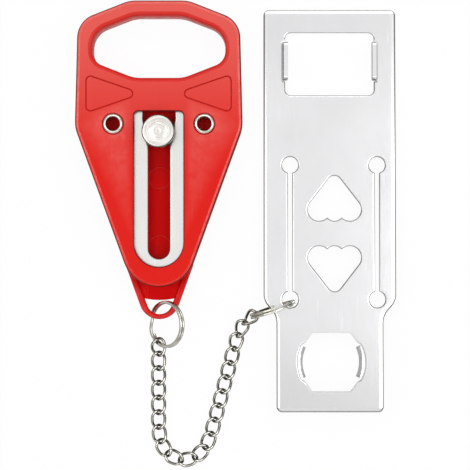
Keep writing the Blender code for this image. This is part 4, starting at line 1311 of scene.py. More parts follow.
    def rivets(self, material: bpy.types.Material) -> bpy.types.Object:
        """The two hollow rivets.

        Args:
            material: Their material, set by the tree.

        Returns:
            Both as one piece, because they belong to one body.
        """
        half = self.rivet_wall / 2
        foot, seat = self.rivet_floor + SEAT_GAP, self.front + self.seat_edge
        middle = self.rivet_barrel - half
        profile = [(-half, foot)]
        for point in arc((0.0, 0.0), 1.0, 180.0, 0.0):
            reach = half if point.x < 0 else self.rivet_flange - middle
            profile.append((reach * point.x, seat + self.rivet_height * point.y))
        profile += [(half, seat), (half, foot)]
        outline = bpy.data.meshes.new("rivet_profile")
        edges = [(index, (index + 1) % len(profile)) for index in range(len(profile))]
        outline.from_pydata([(x, -y, 0.0) for x, y in profile], edges, [])
        return RivetTree().run("rivets", outline, {
            "Middle Radius": middle, "Sides": self.rivet_sides, "Spacing": 2 * self.rivet_x,
            "Row": (0.0, self.rivet_y, 0.0), "Material": material})

    def build(self) -> None:
        """Builds and dresses the body."""
        dress(self.back_shell(), self.back_plastic.material("dark_red_plastic"), "lock_body",
              ["back_shell"])
        dress(self.front_shell(), self.front_plastic.material("red_plastic"), "lock_body",
              ["front_shell"])
        dress(self.guide_plate(), self.steel.material("guide_steel"), "lock_body",
              ["guide_plate"])
        plated = self.rivet_steel.material("rivet_nickel")
        dress(self.rivets(plated), plated, "lock_body", ["eyelet_left", "eyelet_right"])


class ShapeTree(Graph):
    """A Geometry Nodes tree with named inputs that ends in one plain mesh."""

    kinds = {float: "NodeSocketFloat", int: "NodeSocketInt", tuple: "NodeSocketVector"}

    def __init__(self, name: str, inputs: dict[str, type]) -> None:
        """Makes the tree.

        Args:
            name: Its name.
            inputs: The name and type of each size.
        """
        super().__init__(bpy.data.node_groups.new(name, "GeometryNodeTree"))
        face = self.tree.interface
        face.new_socket("Geometry", in_out="INPUT", socket_type="NodeSocketGeometry")
        self.names = {}
        for label, kind in inputs.items():
            item = face.new_socket(label, in_out="INPUT", socket_type=self.kinds[kind])
            self.names[label] = item.identifier
        item = face.new_socket("Material", in_out="INPUT", socket_type="NodeSocketMaterial")
        self.names["Material"] = item.identifier
        face.new_socket("Geometry", in_out="OUTPUT", socket_type="NodeSocketGeometry")
        self.source = self.tree.nodes.new("NodeGroupInput")

    def size(self, name: str) -> Socket:
        """A named input of the tree."""
        return Socket(self, self.source.outputs[name])

    def sweep(self, path: Socket, profile: Socket, caps: bool = False) -> Socket:
        """A profile swept along a path, with its ends closed if they are to be."""
        return self.node("GeometryNodeCurveToMesh", {},
                         {"Curve": path, "Profile Curve": profile, "Fill Caps": caps})

    def resampled(self, curve: Socket) -> Socket:
        """A curve with as many points as the input Steps says."""
        return self.node("GeometryNodeResampleCurve", {},
                         {"Curve": curve, "Count": self.size("Steps")})

    def upright(self, curve: Socket) -> Socket:
        """A curve whose profile keeps its sides upright."""
        return self.node("GeometryNodeSetCurveNormal", {"mode": "Z_UP"}, {"Curve": curve})

    def filleted(self, width: Value, height: Value, count: int, radius: Value) -> Socket:
        """A rectangle with rounded corners.

        Args:
            width: Its width.
            height: Its height.
            count: Points added at each corner.
            radius: The corners' radius.

        Returns:
            The curve.
        """
        box = self.node("GeometryNodeCurvePrimitiveQuadrilateral", {},
                        {"Width": width, "Height": height})
        return self.node("GeometryNodeFilletCurve", {"mode": "POLY"},
                         {"Curve": box, "Count": count, "Radius": radius})

    def close(self, geometry: Socket) -> None:
        """Realizes the instances, sets the material and ends the tree.

        Args:
            geometry: What the tree has made.
        """
        real = self.node("GeometryNodeRealizeInstances", {}, {"Geometry": geometry})
        dressed = self.node("GeometryNodeSetMaterial", {},
                            {"Geometry": real, "Material": self.size("Material")})
        self.node("NodeGroupOutput", {}, {"Geometry": dressed})

    def run(self, name: str, source: bpy.types.Mesh, values: dict[str, object],
            place: Matrix | None = None) -> bpy.types.Object:
        """Runs the tree.

        Args:
            name: Name of the piece.
            source: The mesh that it starts from.
            values: The value of each input.
            place: Where the result goes.

        Returns:
            The piece as a plain mesh.
        """
        item = shown(name, source)
        modifier = item.modifiers.new("shape", "NODES")
        modifier.node_group = self.tree
        for label, value in values.items():
            modifier[self.names[label]] = value
        mesh = plain_mesh(item, name)
        if place is not None:
            mesh.transform(place)
        return shown(name, mesh)


class RivetTree(ShapeTree):
    """Turns a rivet's profile about an upright axis and sets a pair of them in a row."""

    def __init__(self) -> None:
        """Builds the tree."""
        super().__init__("rivet_pair", {"Middle Radius": float, "Sides": int, "Spacing": float,
                                        "Row": tuple})
        spacing = self.size("Spacing")
        profile = self.node("GeometryNodeMeshToCurve", {}, {"Mesh": self.size("Geometry")})
        path = self.node("GeometryNodeCurvePrimitiveCircle", {},
                         {"Resolution": self.size("Sides"), "Radius": self.size("Middle Radius")})
        rivet = self.sweep(self.upright(path), profile)
        start = self.node("ShaderNodeVectorMath", {"operation": "ADD"},
                          {0: self.size("Row"), 1: self.vector(spacing * -0.5)})
        row = self.node("GeometryNodeMeshLine", {}, {"Count": 2, "Start Location": start,
                                                     "Offset": self.vector(spacing)})
        self.close(self.node("GeometryNodeInstanceOnPoints", {},
                             {"Points": row, "Instance": rivet}))


class LinkTree(ShapeTree):
    """A curb link: an oval of round wire, twisted evenly about its length, with painted shade on
    its flanks.
    """

    fillet_points: int = 14
    fillet_share: float = 0.4999
    # Where the painted shade on the flanks begins and where it is full.
    flank_shade_range: Span = (0.93, 0.68)

    def __init__(self) -> None:
        """Builds the tree."""
        super().__init__("curb_link", {"Length": float, "Width": float, "Wire": float,
                                       "Twist": float, "Steps": int, "Sides": int})
        length, width = self.size("Length"), self.size("Width")
        oval = self.resampled(self.filleted(length, width, self.fillet_points,
                                            width * self.fillet_share))
        where = self.node("GeometryNodeInputPosition")
        angle = self.size("Twist") * self.part(where, "X") / length
        turned = self.node("ShaderNodeVectorRotate", {"rotation_type": "X_AXIS"},
                           {"Vector": where, "Angle": angle})
        oval = self.node("GeometryNodeSetPosition", {}, {"Geometry": oval, "Position": turned})
        wire = self.node("GeometryNodeCurvePrimitiveCircle", {},
                         {"Resolution": self.size("Sides"), "Radius": self.size("Wire") * 0.5})
        # Painted shade on the wire's flanks, where its normal turns sideways.
        facing = self.part(self.node("GeometryNodeInputNormal"), "Z")
        painted_shade = self.between(self.math("ABSOLUTE", facing), *self.flank_shade_range) * -1.0
        self.close(self.node("GeometryNodeStoreNamedAttribute",
                             {"data_type": "FLOAT", "domain": "POINT"},
                             {"Geometry": self.sweep(oval, wire), "Name": PAINTED_LIGHT_ATTRIBUTE,
                              "Value": painted_shade}))


class SplitRingTree(ShapeTree):
    """Two turns of flattened wire that changes from one layer to the other at its jog."""

    corner_points: int = 4

    def __init__(self) -> None:
        """Builds the tree."""
        super().__init__("split_ring", {
            "Radius": float, "Wire Width": float, "Wire Thickness": float, "Corner": float,
            "Layer": float, "Begin": float, "End": float, "Change": float, "Jog": float,
            "Steps": int})
        line = self.resampled(self.node("GeometryNodeCurvePrimitiveLine", {},
                                        {"End": (1.0, 0.0, 0.0)}))
        share = self.node("GeometryNodeSplineParameter")
        begin, change, radius = (self.size(name) for name in ("Begin", "Change", "Radius"))
        angle = begin + share * (self.size("End") - begin)
        passed = self.between(angle, change, change + self.size("Jog"))
        where = self.vector(radius * self.math("COSINE", angle),
                            radius * self.math("SINE", angle),
                            self.size("Layer") * (passed * 2.0 - 1.0))
        line = self.node("GeometryNodeSetPosition", {}, {"Geometry": line, "Position": where})
        wire = self.filleted(self.size("Wire Width"), self.size("Wire Thickness"),
                             self.corner_points, self.size("Corner"))
        self.close(self.sweep(self.upright(line), wire, True))


@dataclass
class Knob:
    """The turned head and the stud that carries it through the slot."""

    steel: TurnedSteel
    centre: Span = (0.0, -0.0135)
    head_radius: float = 0.0059
    head_low: float = 0.0141
    head_height: float = 0.0032
    head_rim: float = 0.0006
    head_rim_steps: int = 6
    head_foot_edge: float = 0.0003
    # The rim's painted shade is full from this step of its rounding on.
    shaded_from_step: int = 2
    # The face's rows: reach, depth and a painted shade that darkens its grooves.
    face: tuple[Level, ...] = ((0.0, 0.00004, 0.0), (0.0008, 0.00004, 0.2), (0.0011, 0.0, 0.0),
                               (0.0030, 0.0, 0.0), (0.0031, 0.00004, 0.6),
                               (0.0033, 0.00004, 0.6), (0.0034, 0.0, 0.0))
    neck_radius: float = 0.0032
    tail_radius: float = 0.0018
    tail_length: float = 0.0018
    tail_edge: float = 0.0002
    flange_radius: float = 0.0055
    flange_low: float = 0.0054
    flange_top: float = 0.0070
    edge: float = 0.0001
    # The painted shade on the broken edges.
    edge_shade: float = 0.3

    def head(self) -> bpy.types.Object:
        """Makes the head.

        Returns:
            The solid: a faced top with two shallow grooves, a rounded rim and a blind
            bore.
        """
        head = Solid()
        low, radius, rim, edge = (self.head_low, self.head_radius, self.head_rim,
                                  self.head_foot_edge)
        top = low + self.head_height
        profile = [(reach, top - depth, light_and_shade) for reach, depth, light_and_shade in self.face]
        # Painted shade on the rounded rim, growing outwards, and under it.
        for step in range(self.head_rim_steps + 1):
            turn = math.pi / 2 * step / self.head_rim_steps
            profile.append((radius - rim * (1 - math.sin(turn)),
                            top - rim * (1 - math.cos(turn)),
                            -min(step / self.shaded_from_step, 1.0)))
        bore, ceiling = self.tail_radius + SEAT_GAP, low + self.tail_length + SEAT_GAP
        profile += [(radius, low + edge, -1.0), (radius - edge, low, -1.0), (bore, low, 0.0),
                    (bore, ceiling, 0.0), (0.0, ceiling, 0.0)]
        head.lathe(profile, self.centre)
        return head.object("knob_head_turned")

    def broken(self, radius: float, z: float, cut: float) -> list[Level]:
        """The upper edge of a turned step, broken by a small cut."""
        return [(radius - cut, z, self.edge_shade), (radius, z - cut, self.edge_shade)]

    def stud(self) -> bpy.types.Object:
        """Makes the stud.

        Returns:
            The solid: the riveted tail, the neck and the flange behind the guide plate.
        """
        stud = Solid()
        tail, shoulder = self.head_low + self.tail_length, self.head_low - SEAT_GAP
        low, top, radius, edge = self.flange_low, self.flange_top, self.flange_radius, self.edge
        # The broken edges and the flange carry painted shade.
        stud.lathe([
            (0.0, tail, 0.0), *self.broken(self.tail_radius, tail, self.tail_edge),
            (self.tail_radius, shoulder, 0.0), *self.broken(self.neck_radius, shoulder, edge),
            (self.neck_radius, top, 0.0), *self.broken(radius, top, edge),
            (radius, low + edge, self.edge_shade), (radius - edge, low, self.edge_shade),
            (0.0, low, 0.0),
        ], self.centre)
        return stud.object("knob_stud_turned")

    def build(self) -> None:
        """Builds and dresses the knob."""
        steel = self.steel.material("knob_steel", self.centre)
        dress(self.head(), steel, "knob", ["knob_head"])
        dress(self.stud(), steel, "knob", ["knob_stud"])


@dataclass
class Chain:
    """The curb chain and the split ring at each of its ends."""

    wire_finish: NickelWire
    ring_finish: NickelWire
    count: int = 21
    pitch: float = 0.0054
    wire: float = 0.0010
    wire_gap: float = 0.00035
    outer_width: float = 0.0056
    twist: float = math.pi / 2
    link_steps: int = 56
    link_sides: int = 12
    end_rolls: tuple[float, ...] = (-15.0, -30.0, -45.0)
    ring_radius: float = 0.0086
    ring_width: float = 0.0011
    ring_thickness: float = 0.00085
    ring_corner: float = 0.00032
    ring_steps: int = 200
    coil_gap: float = 0.0002
    jog: float = 40.0
    end_gap: float = 3.0
    jogs: Span = (185.0, 60.0)
    plate_ring_heading: float = 108.2

    def points(self, joints: list[dict]) -> list[Vector]:
        """Finds where each link meets the one before it.

        Args:
            joints: The frame's joints.

        Returns:
            The places, and the last link's far end.
        """
        found = {joint["child"]: Vector(joint["pos_m"]) for joint in joints if "pos_m" in joint}
        links = [found[f"link_{number:02d}"] for number in range(1, self.count + 1)]
        return links + [found["plate_ring"]]

    def link_place(self, index: int, points: list[Vector]) -> Matrix:
        """Place of a link.

        Args:
            index: Its number, from 0.
            points: The chain's meeting points.

        Returns:
            Its turn and place.
        """
        along = (points[index + 1] - points[index]).normalized()
        across = Vector((-along.y, along.x, 0.0)).normalized()
        frame = Matrix((along, across, along.cross(across))).transposed()
        from_end = index - self.count + len(self.end_rolls)
        roll = math.radians(self.end_rolls[from_end]) if from_end >= 0 else 0.0
        turn = frame @ Matrix.Rotation(roll, 3, "X")
        return Matrix.Translation((points[index] + points[index + 1]) / 2) @ turn.to_4x4()

    def ring_place(self, centre: Vector, first: Vector, second: Vector) -> Matrix:
        """Place of a ring from its centre and two directions in its plane."""
        turn = Matrix((first, second, first.cross(second))).transposed()
        return Matrix.Translation(centre) @ turn.to_4x4()

    def ring_sizes(self, jog_at: float, material: bpy.types.Material) -> dict[str, object]:
        """Inputs of the ring's tree.

        Args:
            jog_at: Angle of the jog, in degrees.
            material: The ring's material.

        Returns:
            The inputs by name.
        """
        half = self.jog / 2
        return {
            "Radius": self.ring_radius - self.ring_width / 2, "Wire Width": self.ring_width,
            "Wire Thickness": self.ring_thickness, "Corner": self.ring_corner,
            "Layer": (self.ring_thickness + self.coil_gap) / 2,
            "Begin": math.radians(jog_at + half + self.end_gap),
            "End": math.radians(jog_at + 720.0 - half - self.end_gap),
            "Change": math.radians(jog_at + 360.0 - half), "Jog": math.radians(self.jog),
            "Steps": self.ring_steps, "Material": material,
        }

    def build(self, joints: list[dict]) -> None:
        """Builds and dresses the links and the rings.

        Args:
            joints: The frame's joints, which say where everything hangs.
        """
        points = self.points(joints)
        link_tree, ring_tree = LinkTree(), SplitRingTree()
        wire = self.wire_finish.material("chain_nickel")
        sizes = {"Length": self.pitch + self.wire_gap + self.wire,
                 "Width": self.outer_width - self.wire, "Wire": self.wire, "Twist": self.twist,
                 "Steps": self.link_steps, "Sides": self.link_sides, "Material": wire}
        for index in range(self.count):
            name = f"{index + 1:02d}"
            link = link_tree.run(f"curb_link_{name}", bpy.data.meshes.new("start"), sizes,
                                 self.link_place(index, points))
            dress(link, wire, f"link_{name}", [f"chain_link_{name}"])
        ring = self.ring_finish.material("ring_nickel")
        hinges = {joint["child"]: joint for joint in joints}
        axis = Vector(hinges["body_ring"]["axis"])
        across, up = Vector((0.0, 1.0, 0.0)), Vector((0.0, 0.0, 1.0))
        heading = math.radians(self.plate_ring_heading)
        side = Vector((math.sin(heading), -math.cos(heading), 0.0))
        places = {
            "body_ring": self.ring_place(Vector(hinges["body_ring"]["pos_m"]),
                                         across.cross(axis), across),
            "plate_ring": self.ring_place(Vector(hinges["strike_plate"]["pos_m"]), side, up),
        }
        for (body, place), jog_at in zip(places.items(), self.jogs):
            item = ring_tree.run(f"{body}_coil", bpy.data.meshes.new("start"),
                                 self.ring_sizes(jog_at, ring), place)
            dress(item, ring, body, [body])


@dataclass(frozen=True)
class HeartOpening:
    """A heart with a round apex, two lobes and a scallop between them."""

    apex_y: float = 0.0185
    apex_radius: float = 0.0027
    lobe: Span = (0.0056, 0.0088)
    lobe_radius: float = 0.0042
    scallop_y: float = 0.0080
    scallop_radius: float = 0.0034

    def outline(self) -> list[Vector]:
        """Its outline, with the apex up.

        Returns:
            The points, about the place from which the heights are measured.
        """
        apex, lobe, scallop = (Vector(place) for place in (
            (0.0, self.apex_y), self.lobe, (0.0, self.scallop_y)))
        outer, inner = self.lobe_radius, self.scallop_radius
        span, inward = lobe - apex, scallop - lobe
        flank = math.degrees(math.atan2(span.y, span.x)
                             + math.acos((self.apex_radius - outer) / span.length))
        reach = ((outer ** 2 - inner ** 2) / inward.length + inward.length) / 2
        unit = inward.normalized()
        cusp = lobe + unit * reach + Vector((-unit.y, unit.x)) * math.sqrt(
            outer ** 2 - reach ** 2)
        lobe_deg, scallop_deg = (math.degrees(math.atan2(cusp.y - centre.y, cusp.x - centre.x))
                                 for centre in (lobe, scallop))
        lobe_deg -= 360.0 if lobe_deg > 0 else 0.0
        return (arc(apex, self.apex_radius, flank, 180.0 - flank)
                + arc((-lobe.x, lobe.y), outer, 180.0 - flank, 180.0 - lobe_deg)[1:]
                + arc(scallop, inner, -180.0 - scallop_deg, scallop_deg)[1:-1]
                + arc(lobe, outer, lobe_deg, flank)[:-1])


@dataclass
class StrikePlate:
    """The pierced plate with its four claws."""

    steel: SheetSteel
    heart_shape: HeartOpening = HeartOpening()
    thickness: float = 0.0015
    low: float = 0.0050
    length: float = 0.1474
    half_width: float = 0.0242
    corner: float = 0.0020
    neck_half_width: float = 0.0195
    neck_length: float = 0.0352
    neck_slope: float = 0.0052
    neck_corner: float = 0.0070
    lower_edge: float = 0.0003
    edge_lean: Span = (0.0014, 0.00014)
    edge_corner: float = 0.00045
    hole_lean: Span = (0.0004, 0.00004)
    hole_corner: float = 0.0003
    # How strong the painted shade is where each wall faces +Y and where it faces -Y.
    outline_facing: Span = (0.35, 0.8)
    window_facing: Span = (1.0, 0.12)
    octagon_facing: Span = (0.8, 0.3)
    piercing_facing: Span = (1.0, 0.6)
    offset_x: float = 0.0014
    centre_y: float = 0.0657
    heart_offset: Span = (0.0003, -0.0005)
    slot_spacing: float = 0.0318
    slot_length: float = 0.0492
    slot_half_width: float = 0.00085
    slot_hole_radius: float = 0.0030
    window_half_width: float = 0.0163
    window_top: float = 0.13905
    window_height: float = 0.0232
    window_corner: float = 0.0022
    window_claw_y: float = 0.12825
    window_claw_half: float = 0.0068
    window_claw_x: float = 0.0172
    octagon_x: float = 0.0005
    octagon_y: float = 0.0182
    octagon_corners: tuple[Span, ...] = ((0.0069, 0.0107), (0.0096, 0.0071))
    octagon_claw_x: float = 0.0123
    octagon_claw_radius: float = 0.0140
    octagon_claw_half: float = 0.0061
    relief: float = 0.0004
    bend_radius: float = 0.0003
    claw_root: float = 0.0004
    tip_cut: float = 0.0012
    tip_steps: int = 5
    curve_steps: int = 8
    window_bend: Bend = Bend.UP
    octagon_bend: Bend = Bend.DOWN
    # Painted shade along the window claws' foot, painted highlight on the window claws and on the
    # octagon claws below the sheet.
    foot_shade: float = -0.7
    foot_shade_reach: float = 0.00036
    claw_highlight: float = 0.3
    tip_highlight: float = 0.6
    slack: float = 0.00005

    @property
    def high(self) -> float:
        """Height of the plate's face."""
        return self.low + self.thickness

    def outline(self) -> list[Vector]:
        """Outline of the plate, narrower at its lower end.

        Returns:
            The points.
        """
        half, neck = self.half_width, self.neck_half_width
        return rounded(mirrored([
            (half, self.length, self.corner),
            (half, self.neck_length + self.neck_slope, self.neck_corner),
            (neck, self.neck_length, self.neck_corner), (neck, 0.0, self.corner)]))

    def window(self) -> list[Vector]:
        """Rectangular opening, notched at the roots of its claws.

        Returns:
            The points.
        """
        notch = self.window_claw_half + self.relief
        half, root = self.window_half_width, self.window_claw_x
        upper, lower = self.window_claw_y + notch, self.window_claw_y - notch
        return rounded(mirrored([
            (half, self.window_top, self.window_corner), (half, upper, 0.0), (root, upper, 0.0),
            (root, lower, 0.0), (half, lower, 0.0),
            (half, self.window_top - self.window_height, self.window_corner)]))

    def octagon(self) -> list[Vector]:
        """Octagonal opening, its sides arcs at the roots of its claws.

        Returns:
            The points.
        """
        radius, y = self.octagon_claw_radius, self.octagon_y
        notch = math.degrees(math.asin((self.octagon_claw_half + self.relief) / radius))
        side = arc((self.octagon_claw_x - radius, y), radius, notch, -notch)
        right = ([(px, y + py) for px, py in self.octagon_corners]
                 + [(p.x, p.y) for p in side]
                 + [(px, y - py) for px, py in reversed(self.octagon_corners)])
        return [Vector((self.octagon_x + px, py)) for px, py in mirrored(right)]

    def long_slot(self, side: int) -> list[Vector]:
        """Outline of a long slot with a round hole at each end.

        Args:
            side: -1 for the left one, 1 for the right one.

        Returns:
            The outline.
        """
        radius = self.slot_hole_radius
        x = self.offset_x + side * self.slot_spacing / 2
        opening = math.degrees(math.asin(self.slot_half_width / radius))
        low, high = (self.centre_y + way * self.slot_length / 2 for way in SIDES)
        return (arc((x, high), radius, opening - 90.0, 270.0 - opening)
                + arc((x, low), radius, 90.0 + opening, 450.0 - opening))

    def heart(self, way: int) -> list[Vector]:
        """Outline of a heart, with its apex up (1) or down (-1)."""
        centre = Vector((self.offset_x, self.centre_y)) + Vector(self.heart_offset)
        return [centre + Vector((p.x, way * p.y)) for p in self.heart_shape.outline()]

    def claw(self, name: str, roots: Sequence[tuple[Vector, Vector]],
             bend: Bend) -> bpy.types.Object:
        """One claw.

        Args:
            name: Name of the solid.
            roots: Points of its root line, each with the direction into the opening.
            bend: The way it is bent.

        Returns:
            The solid, with its tip's corners cut.
        """
        inner, outer = self.bend_radius, self.bend_radius + self.thickness
        centre = (0.0, self.high - outer)
        profile = [(-self.claw_root, self.high)]
        profile += [(p.x, p.y) for p in reversed(arc(centre, outer, 0.0, 90.0))]
        profile += [(outer, 0.0), (inner, 0.0)]
        profile += [(p.x, p.y) for p in arc(centre, inner, 0.0, 90.0)]
        profile.append((-self.claw_root, self.low))
        solid = Solid()
        rows = []
        for index, (root, inward) in enumerate(roots):
            turn = min(index, len(roots) - 1 - index, self.tip_steps) / self.tip_steps
            lift = self.tip_cut * (1 - math.sin(math.pi / 2 * turn))
            corners = [(root.x + inward.x * u, root.y + inward.y * u, max(z, lift))
                       for u, z in profile]
            if bend is Bend.UP:
                corners = [(x, y, self.low + self.high - z) for x, y, z in corners]
            rows.append(solid.loop(corners))
        solid.bridge(rows)
        solid.bm.faces.new(rows[0])
        solid.bm.faces.new(rows[-1])
        return solid.object(name)

    def spread(self, half: float, cut: float, steps: int) -> list[float]:
        """Places along a claw's root, close together where its corners are rounded.

        Args:
            half: Half its length.
            cut: Radius of its corners.
            steps: Steps between them.

        Returns:
            The places, from one end to the other.
        """
        turns = [math.pi / 2 * step / self.tip_steps for step in range(self.tip_steps)]
        upper = [half - cut * (1 - math.cos(turn)) for turn in turns]
        inner = half - cut
        middle = [inner * (1 - 2 * step / steps) for step in range(steps + 1)]
        return upper + middle + [-place for place in reversed(upper)]

    def claws(self) -> list[bpy.types.Object]:
        """The four claws.

        Returns:
            On each side a straight one at the window and one along an arc at the octagon.
        """
        radius = self.octagon_claw_radius
        wide = math.asin(self.octagon_claw_half / radius)
        straight_roots = self.spread(self.window_claw_half, self.tip_cut, 1)
        angles = self.spread(wide, self.tip_cut / radius, self.curve_steps)
        made = []
        for side in SIDES:
            roots = [(Vector((side * self.window_claw_x, self.window_claw_y + y)),
                      Vector((-side, 0.0))) for y in straight_roots]
            made.append(self.claw(f"window_claw_{side}", roots, self.window_bend))
            centre = Vector((self.octagon_x + side * (self.octagon_claw_x - radius),
                             self.octagon_y))
            outward = [Vector((side * math.cos(angle), math.sin(angle))) for angle in angles]
            roots = [(centre + way * radius, -way) for way in outward]
            made.append(self.claw(f"octagon_claw_{side}", roots, self.octagon_bend))
        return made

    def set_claw_light_and_shade(self, plate: bpy.types.Object) -> None:
        """Paints light on the claws: a painted highlight on the window claws and on the octagon
        claws below the sheet, and a painted shade line along each window claw's foot.

        Args:
            plate: The plate with its claws, before it is tilted.
        """
        painted_light = plate.data.attributes[PAINTED_LIGHT_ATTRIBUTE].data
        reach, radius = self.foot_shade_reach, self.octagon_claw_radius
        centre = (self.octagon_claw_x - radius, self.octagon_y)
        for vert in plate.data.vertices:
            x, y, z = vert.co
            if abs(y - self.window_claw_y) < self.window_claw_half + 2 * self.slack:
                foot = abs(x) > self.window_claw_x - reach and 0.0 < z - self.high < reach
                if abs(x) < self.window_claw_x + self.slack:
                    painted_light[vert.index].value = self.foot_shade if foot else self.claw_highlight
            elif math.dist((abs(x - self.octagon_x), y), centre) < radius + self.slack:
                painted_light[vert.index].value = 0.0 if z > self.low else self.tip_highlight

    def sheet(self) -> bpy.types.Object:
        """The pierced sheet.

        Returns:
            The sheet, its outer edge rolled over and its holes lightly broken.
        """
        sheet = Solid()
        low, high, edge = self.low, self.high, self.lower_edge
        middle = (low + high) / 2
        foot = flipped(round_over(middle, high, edge, edge), low + high)
        # Painted highlight on the rolled rims and painted shade on their outermost corner.
        outer, hole = (shaded(foot + rolled(middle, high, lean, corner)[1:], corner)
                       for lean, corner in ((self.edge_lean, self.edge_corner),
                                            (self.hole_lean, self.hole_corner)))
        holes = [(self.window(), self.window_facing), (self.octagon(), self.octagon_facing)]
        holes += [(self.heart(way), self.piercing_facing) for way in SIDES]
        holes += [(self.long_slot(side), self.piercing_facing) for side in SIDES]
        walls = [sheet.wall(self.outline(), outer, False, self.outline_facing)]
        walls += [sheet.wall(points, hole, True, facing) for points, facing in holes]
        sheet.cap(*zip(*walls))
        return sheet.object("strike_plate_sheet")

    def tilted(self) -> Matrix:
        """The plate's tilt, because it lies on its lower claws and on its far edge.

        Returns:
            The turn about the line on which the claws stand.
        """
        radius = self.octagon_claw_radius
        spread = math.asin(self.octagon_claw_half / radius) - self.tip_cut / radius
        foot = self.octagon_y + (radius - self.bend_radius) * math.sin(spread)
        tilt = math.atan2(self.low, self.length - self.lower_edge - foot)
        line = Matrix.Translation((0.0, foot, 0.0))
        return line @ Matrix.Rotation(-tilt, 4, "X") @ line.inverted()

    def build(self) -> None:
        """Builds the plate where its CAD node lies and dresses it."""
        low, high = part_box("strike_plate")
        plate = joined(self.sheet(), self.claws())
        self.set_claw_light_and_shade(plate)
        plate.data.transform(self.tilted())
        lowest = min(vert.co.y for vert in plate.data.vertices)
        plate.data.transform(Matrix.Translation(((low.x + high.x) / 2, low.y - lowest, 0.0)))
        dress(plate, self.steel.material("plate_steel"), "strike_plate",
              ["strike_plate"])


@dataclass(frozen=True)
class SoftBox:
    """A soft box, placed by its angle from straight above and its heading from +X."""

    name: str
    tilt: float
    heading: float
    size: Span
    radiance: float
    distance: float = 0.9

    def light(self, target: Vector) -> None:
        """Lights a point.

        Args:
            target: The point that it looks at.
        """
        width, height = self.size
        data = bpy.data.lights.new(self.name, "AREA")
        data.shape = "RECTANGLE"
        data.size, data.size_y = self.size
        data.energy = self.radiance * math.pi * width * height
        item = shown(self.name, data)
        away, turn = math.radians(self.tilt), math.radians(self.heading)
        back = Vector((math.sin(away) * math.cos(turn), math.sin(away) * math.sin(turn),
                       math.cos(away)))
        item.location = target + back * self.distance
        item.rotation_euler = back.to_track_quat("Z", "Y").to_euler()


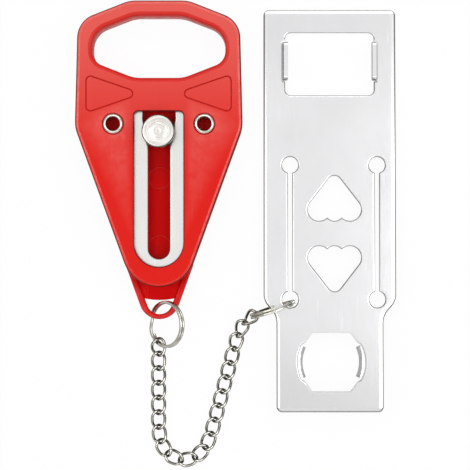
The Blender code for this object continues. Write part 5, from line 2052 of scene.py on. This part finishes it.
@dataclass
class Studio:
    """White floor, soft lights and the camera straight above."""

    camera: tuple[float, float, float] = (0.0276, -0.0508, 0.609)
    lens: float = 126.6
    clip_start: float = 0.01
    ambient: float = 0.36
    overhead: float = 0.93
    floor_half: float = 3.0
    floor_colour: Colour = (0.85, 0.85, 0.84)
    floor_mirrored: Colour = (0.60, 0.60, 0.59)
    floor_seen: Colour = (0.97, 0.97, 0.97)
    floor_glow: float = 0.95
    card_count: int = 12
    card_reach: float = 0.8
    card_half: float = 0.46
    card_heights: Span = (0.03, 0.70)
    card_dark: Colour = (0.02, 0.02, 0.014)
    card_grey: Colour = (0.55, 0.55, 0.54)
    card_white: Colour = (1.0, 1.0, 0.98)
    dark_range: Span = (0.43, 0.56)
    white_range: Span = (-0.3, -0.8)
    boxes: tuple[SoftBox, ...] = (
        SoftBox("north_box", tilt=37.0, heading=90.0, size=(0.9, 0.24), radiance=2.6),
        SoftBox("south_box", tilt=38.0, heading=270.0, size=(0.8, 0.18), radiance=1.6),
        SoftBox("west_box", tilt=38.0, heading=180.0, size=(0.36, 0.8), radiance=2.4),
        SoftBox("east_box", tilt=38.0, heading=0.0, size=(0.36, 0.8), radiance=2.4))

    def world(self) -> None:
        """Even light; the camera sees white, and reflections see a pale ceiling."""
        world = bpy.data.worlds.new("studio")
        world.use_nodes = True
        bpy.context.scene.world = world
        graph = Graph(world.node_tree)
        strength = (self.ambient + graph.ray("Is Camera Ray") * (1.0 - self.ambient)
                    + graph.ray("Is Glossy Ray") * (self.overhead - self.ambient))
        shader = graph.glow("ShaderNodeBackground", WHITE, strength)
        graph.node("ShaderNodeOutputWorld", {}, {"Surface": shader})

    def floor(self) -> None:
        """White floor that keeps the object's shadow."""
        half = self.floor_half
        mesh = bpy.data.meshes.new("floor")
        mesh.from_pydata([(-half, -half, 0.0), (half, -half, 0.0), (half, half, 0.0),
                          (-half, half, 0.0)], [], [(0, 1, 2, 3)])
        graph = MaterialGraph("white_floor")
        seen = graph.ray("Is Camera Ray")
        dim = graph.mix(graph.ray("Is Glossy Ray"), self.floor_colour, self.floor_mirrored)
        paper = graph.node("ShaderNodeBsdfDiffuse", {},
                           {"Color": graph.mix(seen, dim, self.floor_seen)})
        glow = graph.glow("ShaderNodeEmission", WHITE, 1.0)
        mesh.materials.append(graph.close(graph.node(
            "ShaderNodeMixShader", {}, {0: seen * self.floor_glow, 1: paper, 2: glow})))
        shown("floor", mesh)

    def cards(self) -> None:
        """Cards round the set, seen only in reflections.

        They are dark above, which draws the metal's edges, and pale below, which keeps it
        bright from the side.
        """
        graph = MaterialGraph("dark_card")
        depth, height = (graph.part(graph.place(), axis) for axis in ("Y", "Z"))
        pale = graph.mix(graph.between(depth, *self.white_range), self.card_grey,
                         self.card_white)
        colour = graph.mix(graph.between(height, *self.dark_range), pale, self.card_dark)
        verts, faces = [], []
        for number in range(self.card_count):
            for edge in (-self.card_half, self.card_half):
                turn = 2 * math.pi * (number + 0.5 + edge) / self.card_count
                verts += [(self.camera[0] + self.card_reach * math.cos(turn),
                           self.camera[1] + self.card_reach * math.sin(turn), z)
                          for z in self.card_heights]
            base = 4 * number
            faces.append((base, base + 1, base + 3, base + 2))
        mesh = bpy.data.meshes.new("dark_cards")
        mesh.from_pydata(verts, [], faces)
        mesh.materials.append(graph.close(graph.glow("ShaderNodeEmission", colour, 1.0)))
        item = shown("dark_cards", mesh)
        item.visible_camera = False
        item.visible_diffuse = False
        item.visible_shadow = False

    def build(self) -> None:
        """Sets up the studio."""
        scene = bpy.context.scene
        scene.view_settings.view_transform = "Standard"
        data = bpy.data.cameras.new("camera")
        data.lens = self.lens
        data.clip_start = self.clip_start
        camera = shown("camera", data)
        camera.location = self.camera
        scene.camera = camera
        self.world()
        self.floor()
        for box in self.boxes:
            box.light(Vector((*self.camera[:2], 0.0)))
        self.cards()


def main() -> None:
    """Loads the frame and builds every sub-assembly over it."""
    logging.basicConfig(level=logging.INFO, format="%(message)s")
    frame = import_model()
    nickel = NickelWire()
    front_plastic = MouldedPlastic(colour=(0.78, 0.006, 0.001), lit_top_colour=(0.82, 0.105, 0.085),
                                   scratch_and_highlight_colour=(0.97, 0.20, 0.17))
    back_plastic = MouldedPlastic(colour=(0.72, 0.001, 0.001), lit_top_colour=(0.74, 0.008, 0.006),
                                  scratch_and_highlight_colour=(0.98, 0.34, 0.32), gloss=0.08, sheen=0.0)
    LockBody(front_plastic, back_plastic, SheetSteel(), NickelWire(roughness=0.2)).build()
    Knob(TurnedSteel()).build()
    Chain(nickel, nickel).build(frame["joints"])
    StrikePlate(SheetSteel(colour=(0.80, 0.80, 0.81), turn=math.pi / 2)).build()
    Studio().build()


if __name__ == "__main__":
    main()
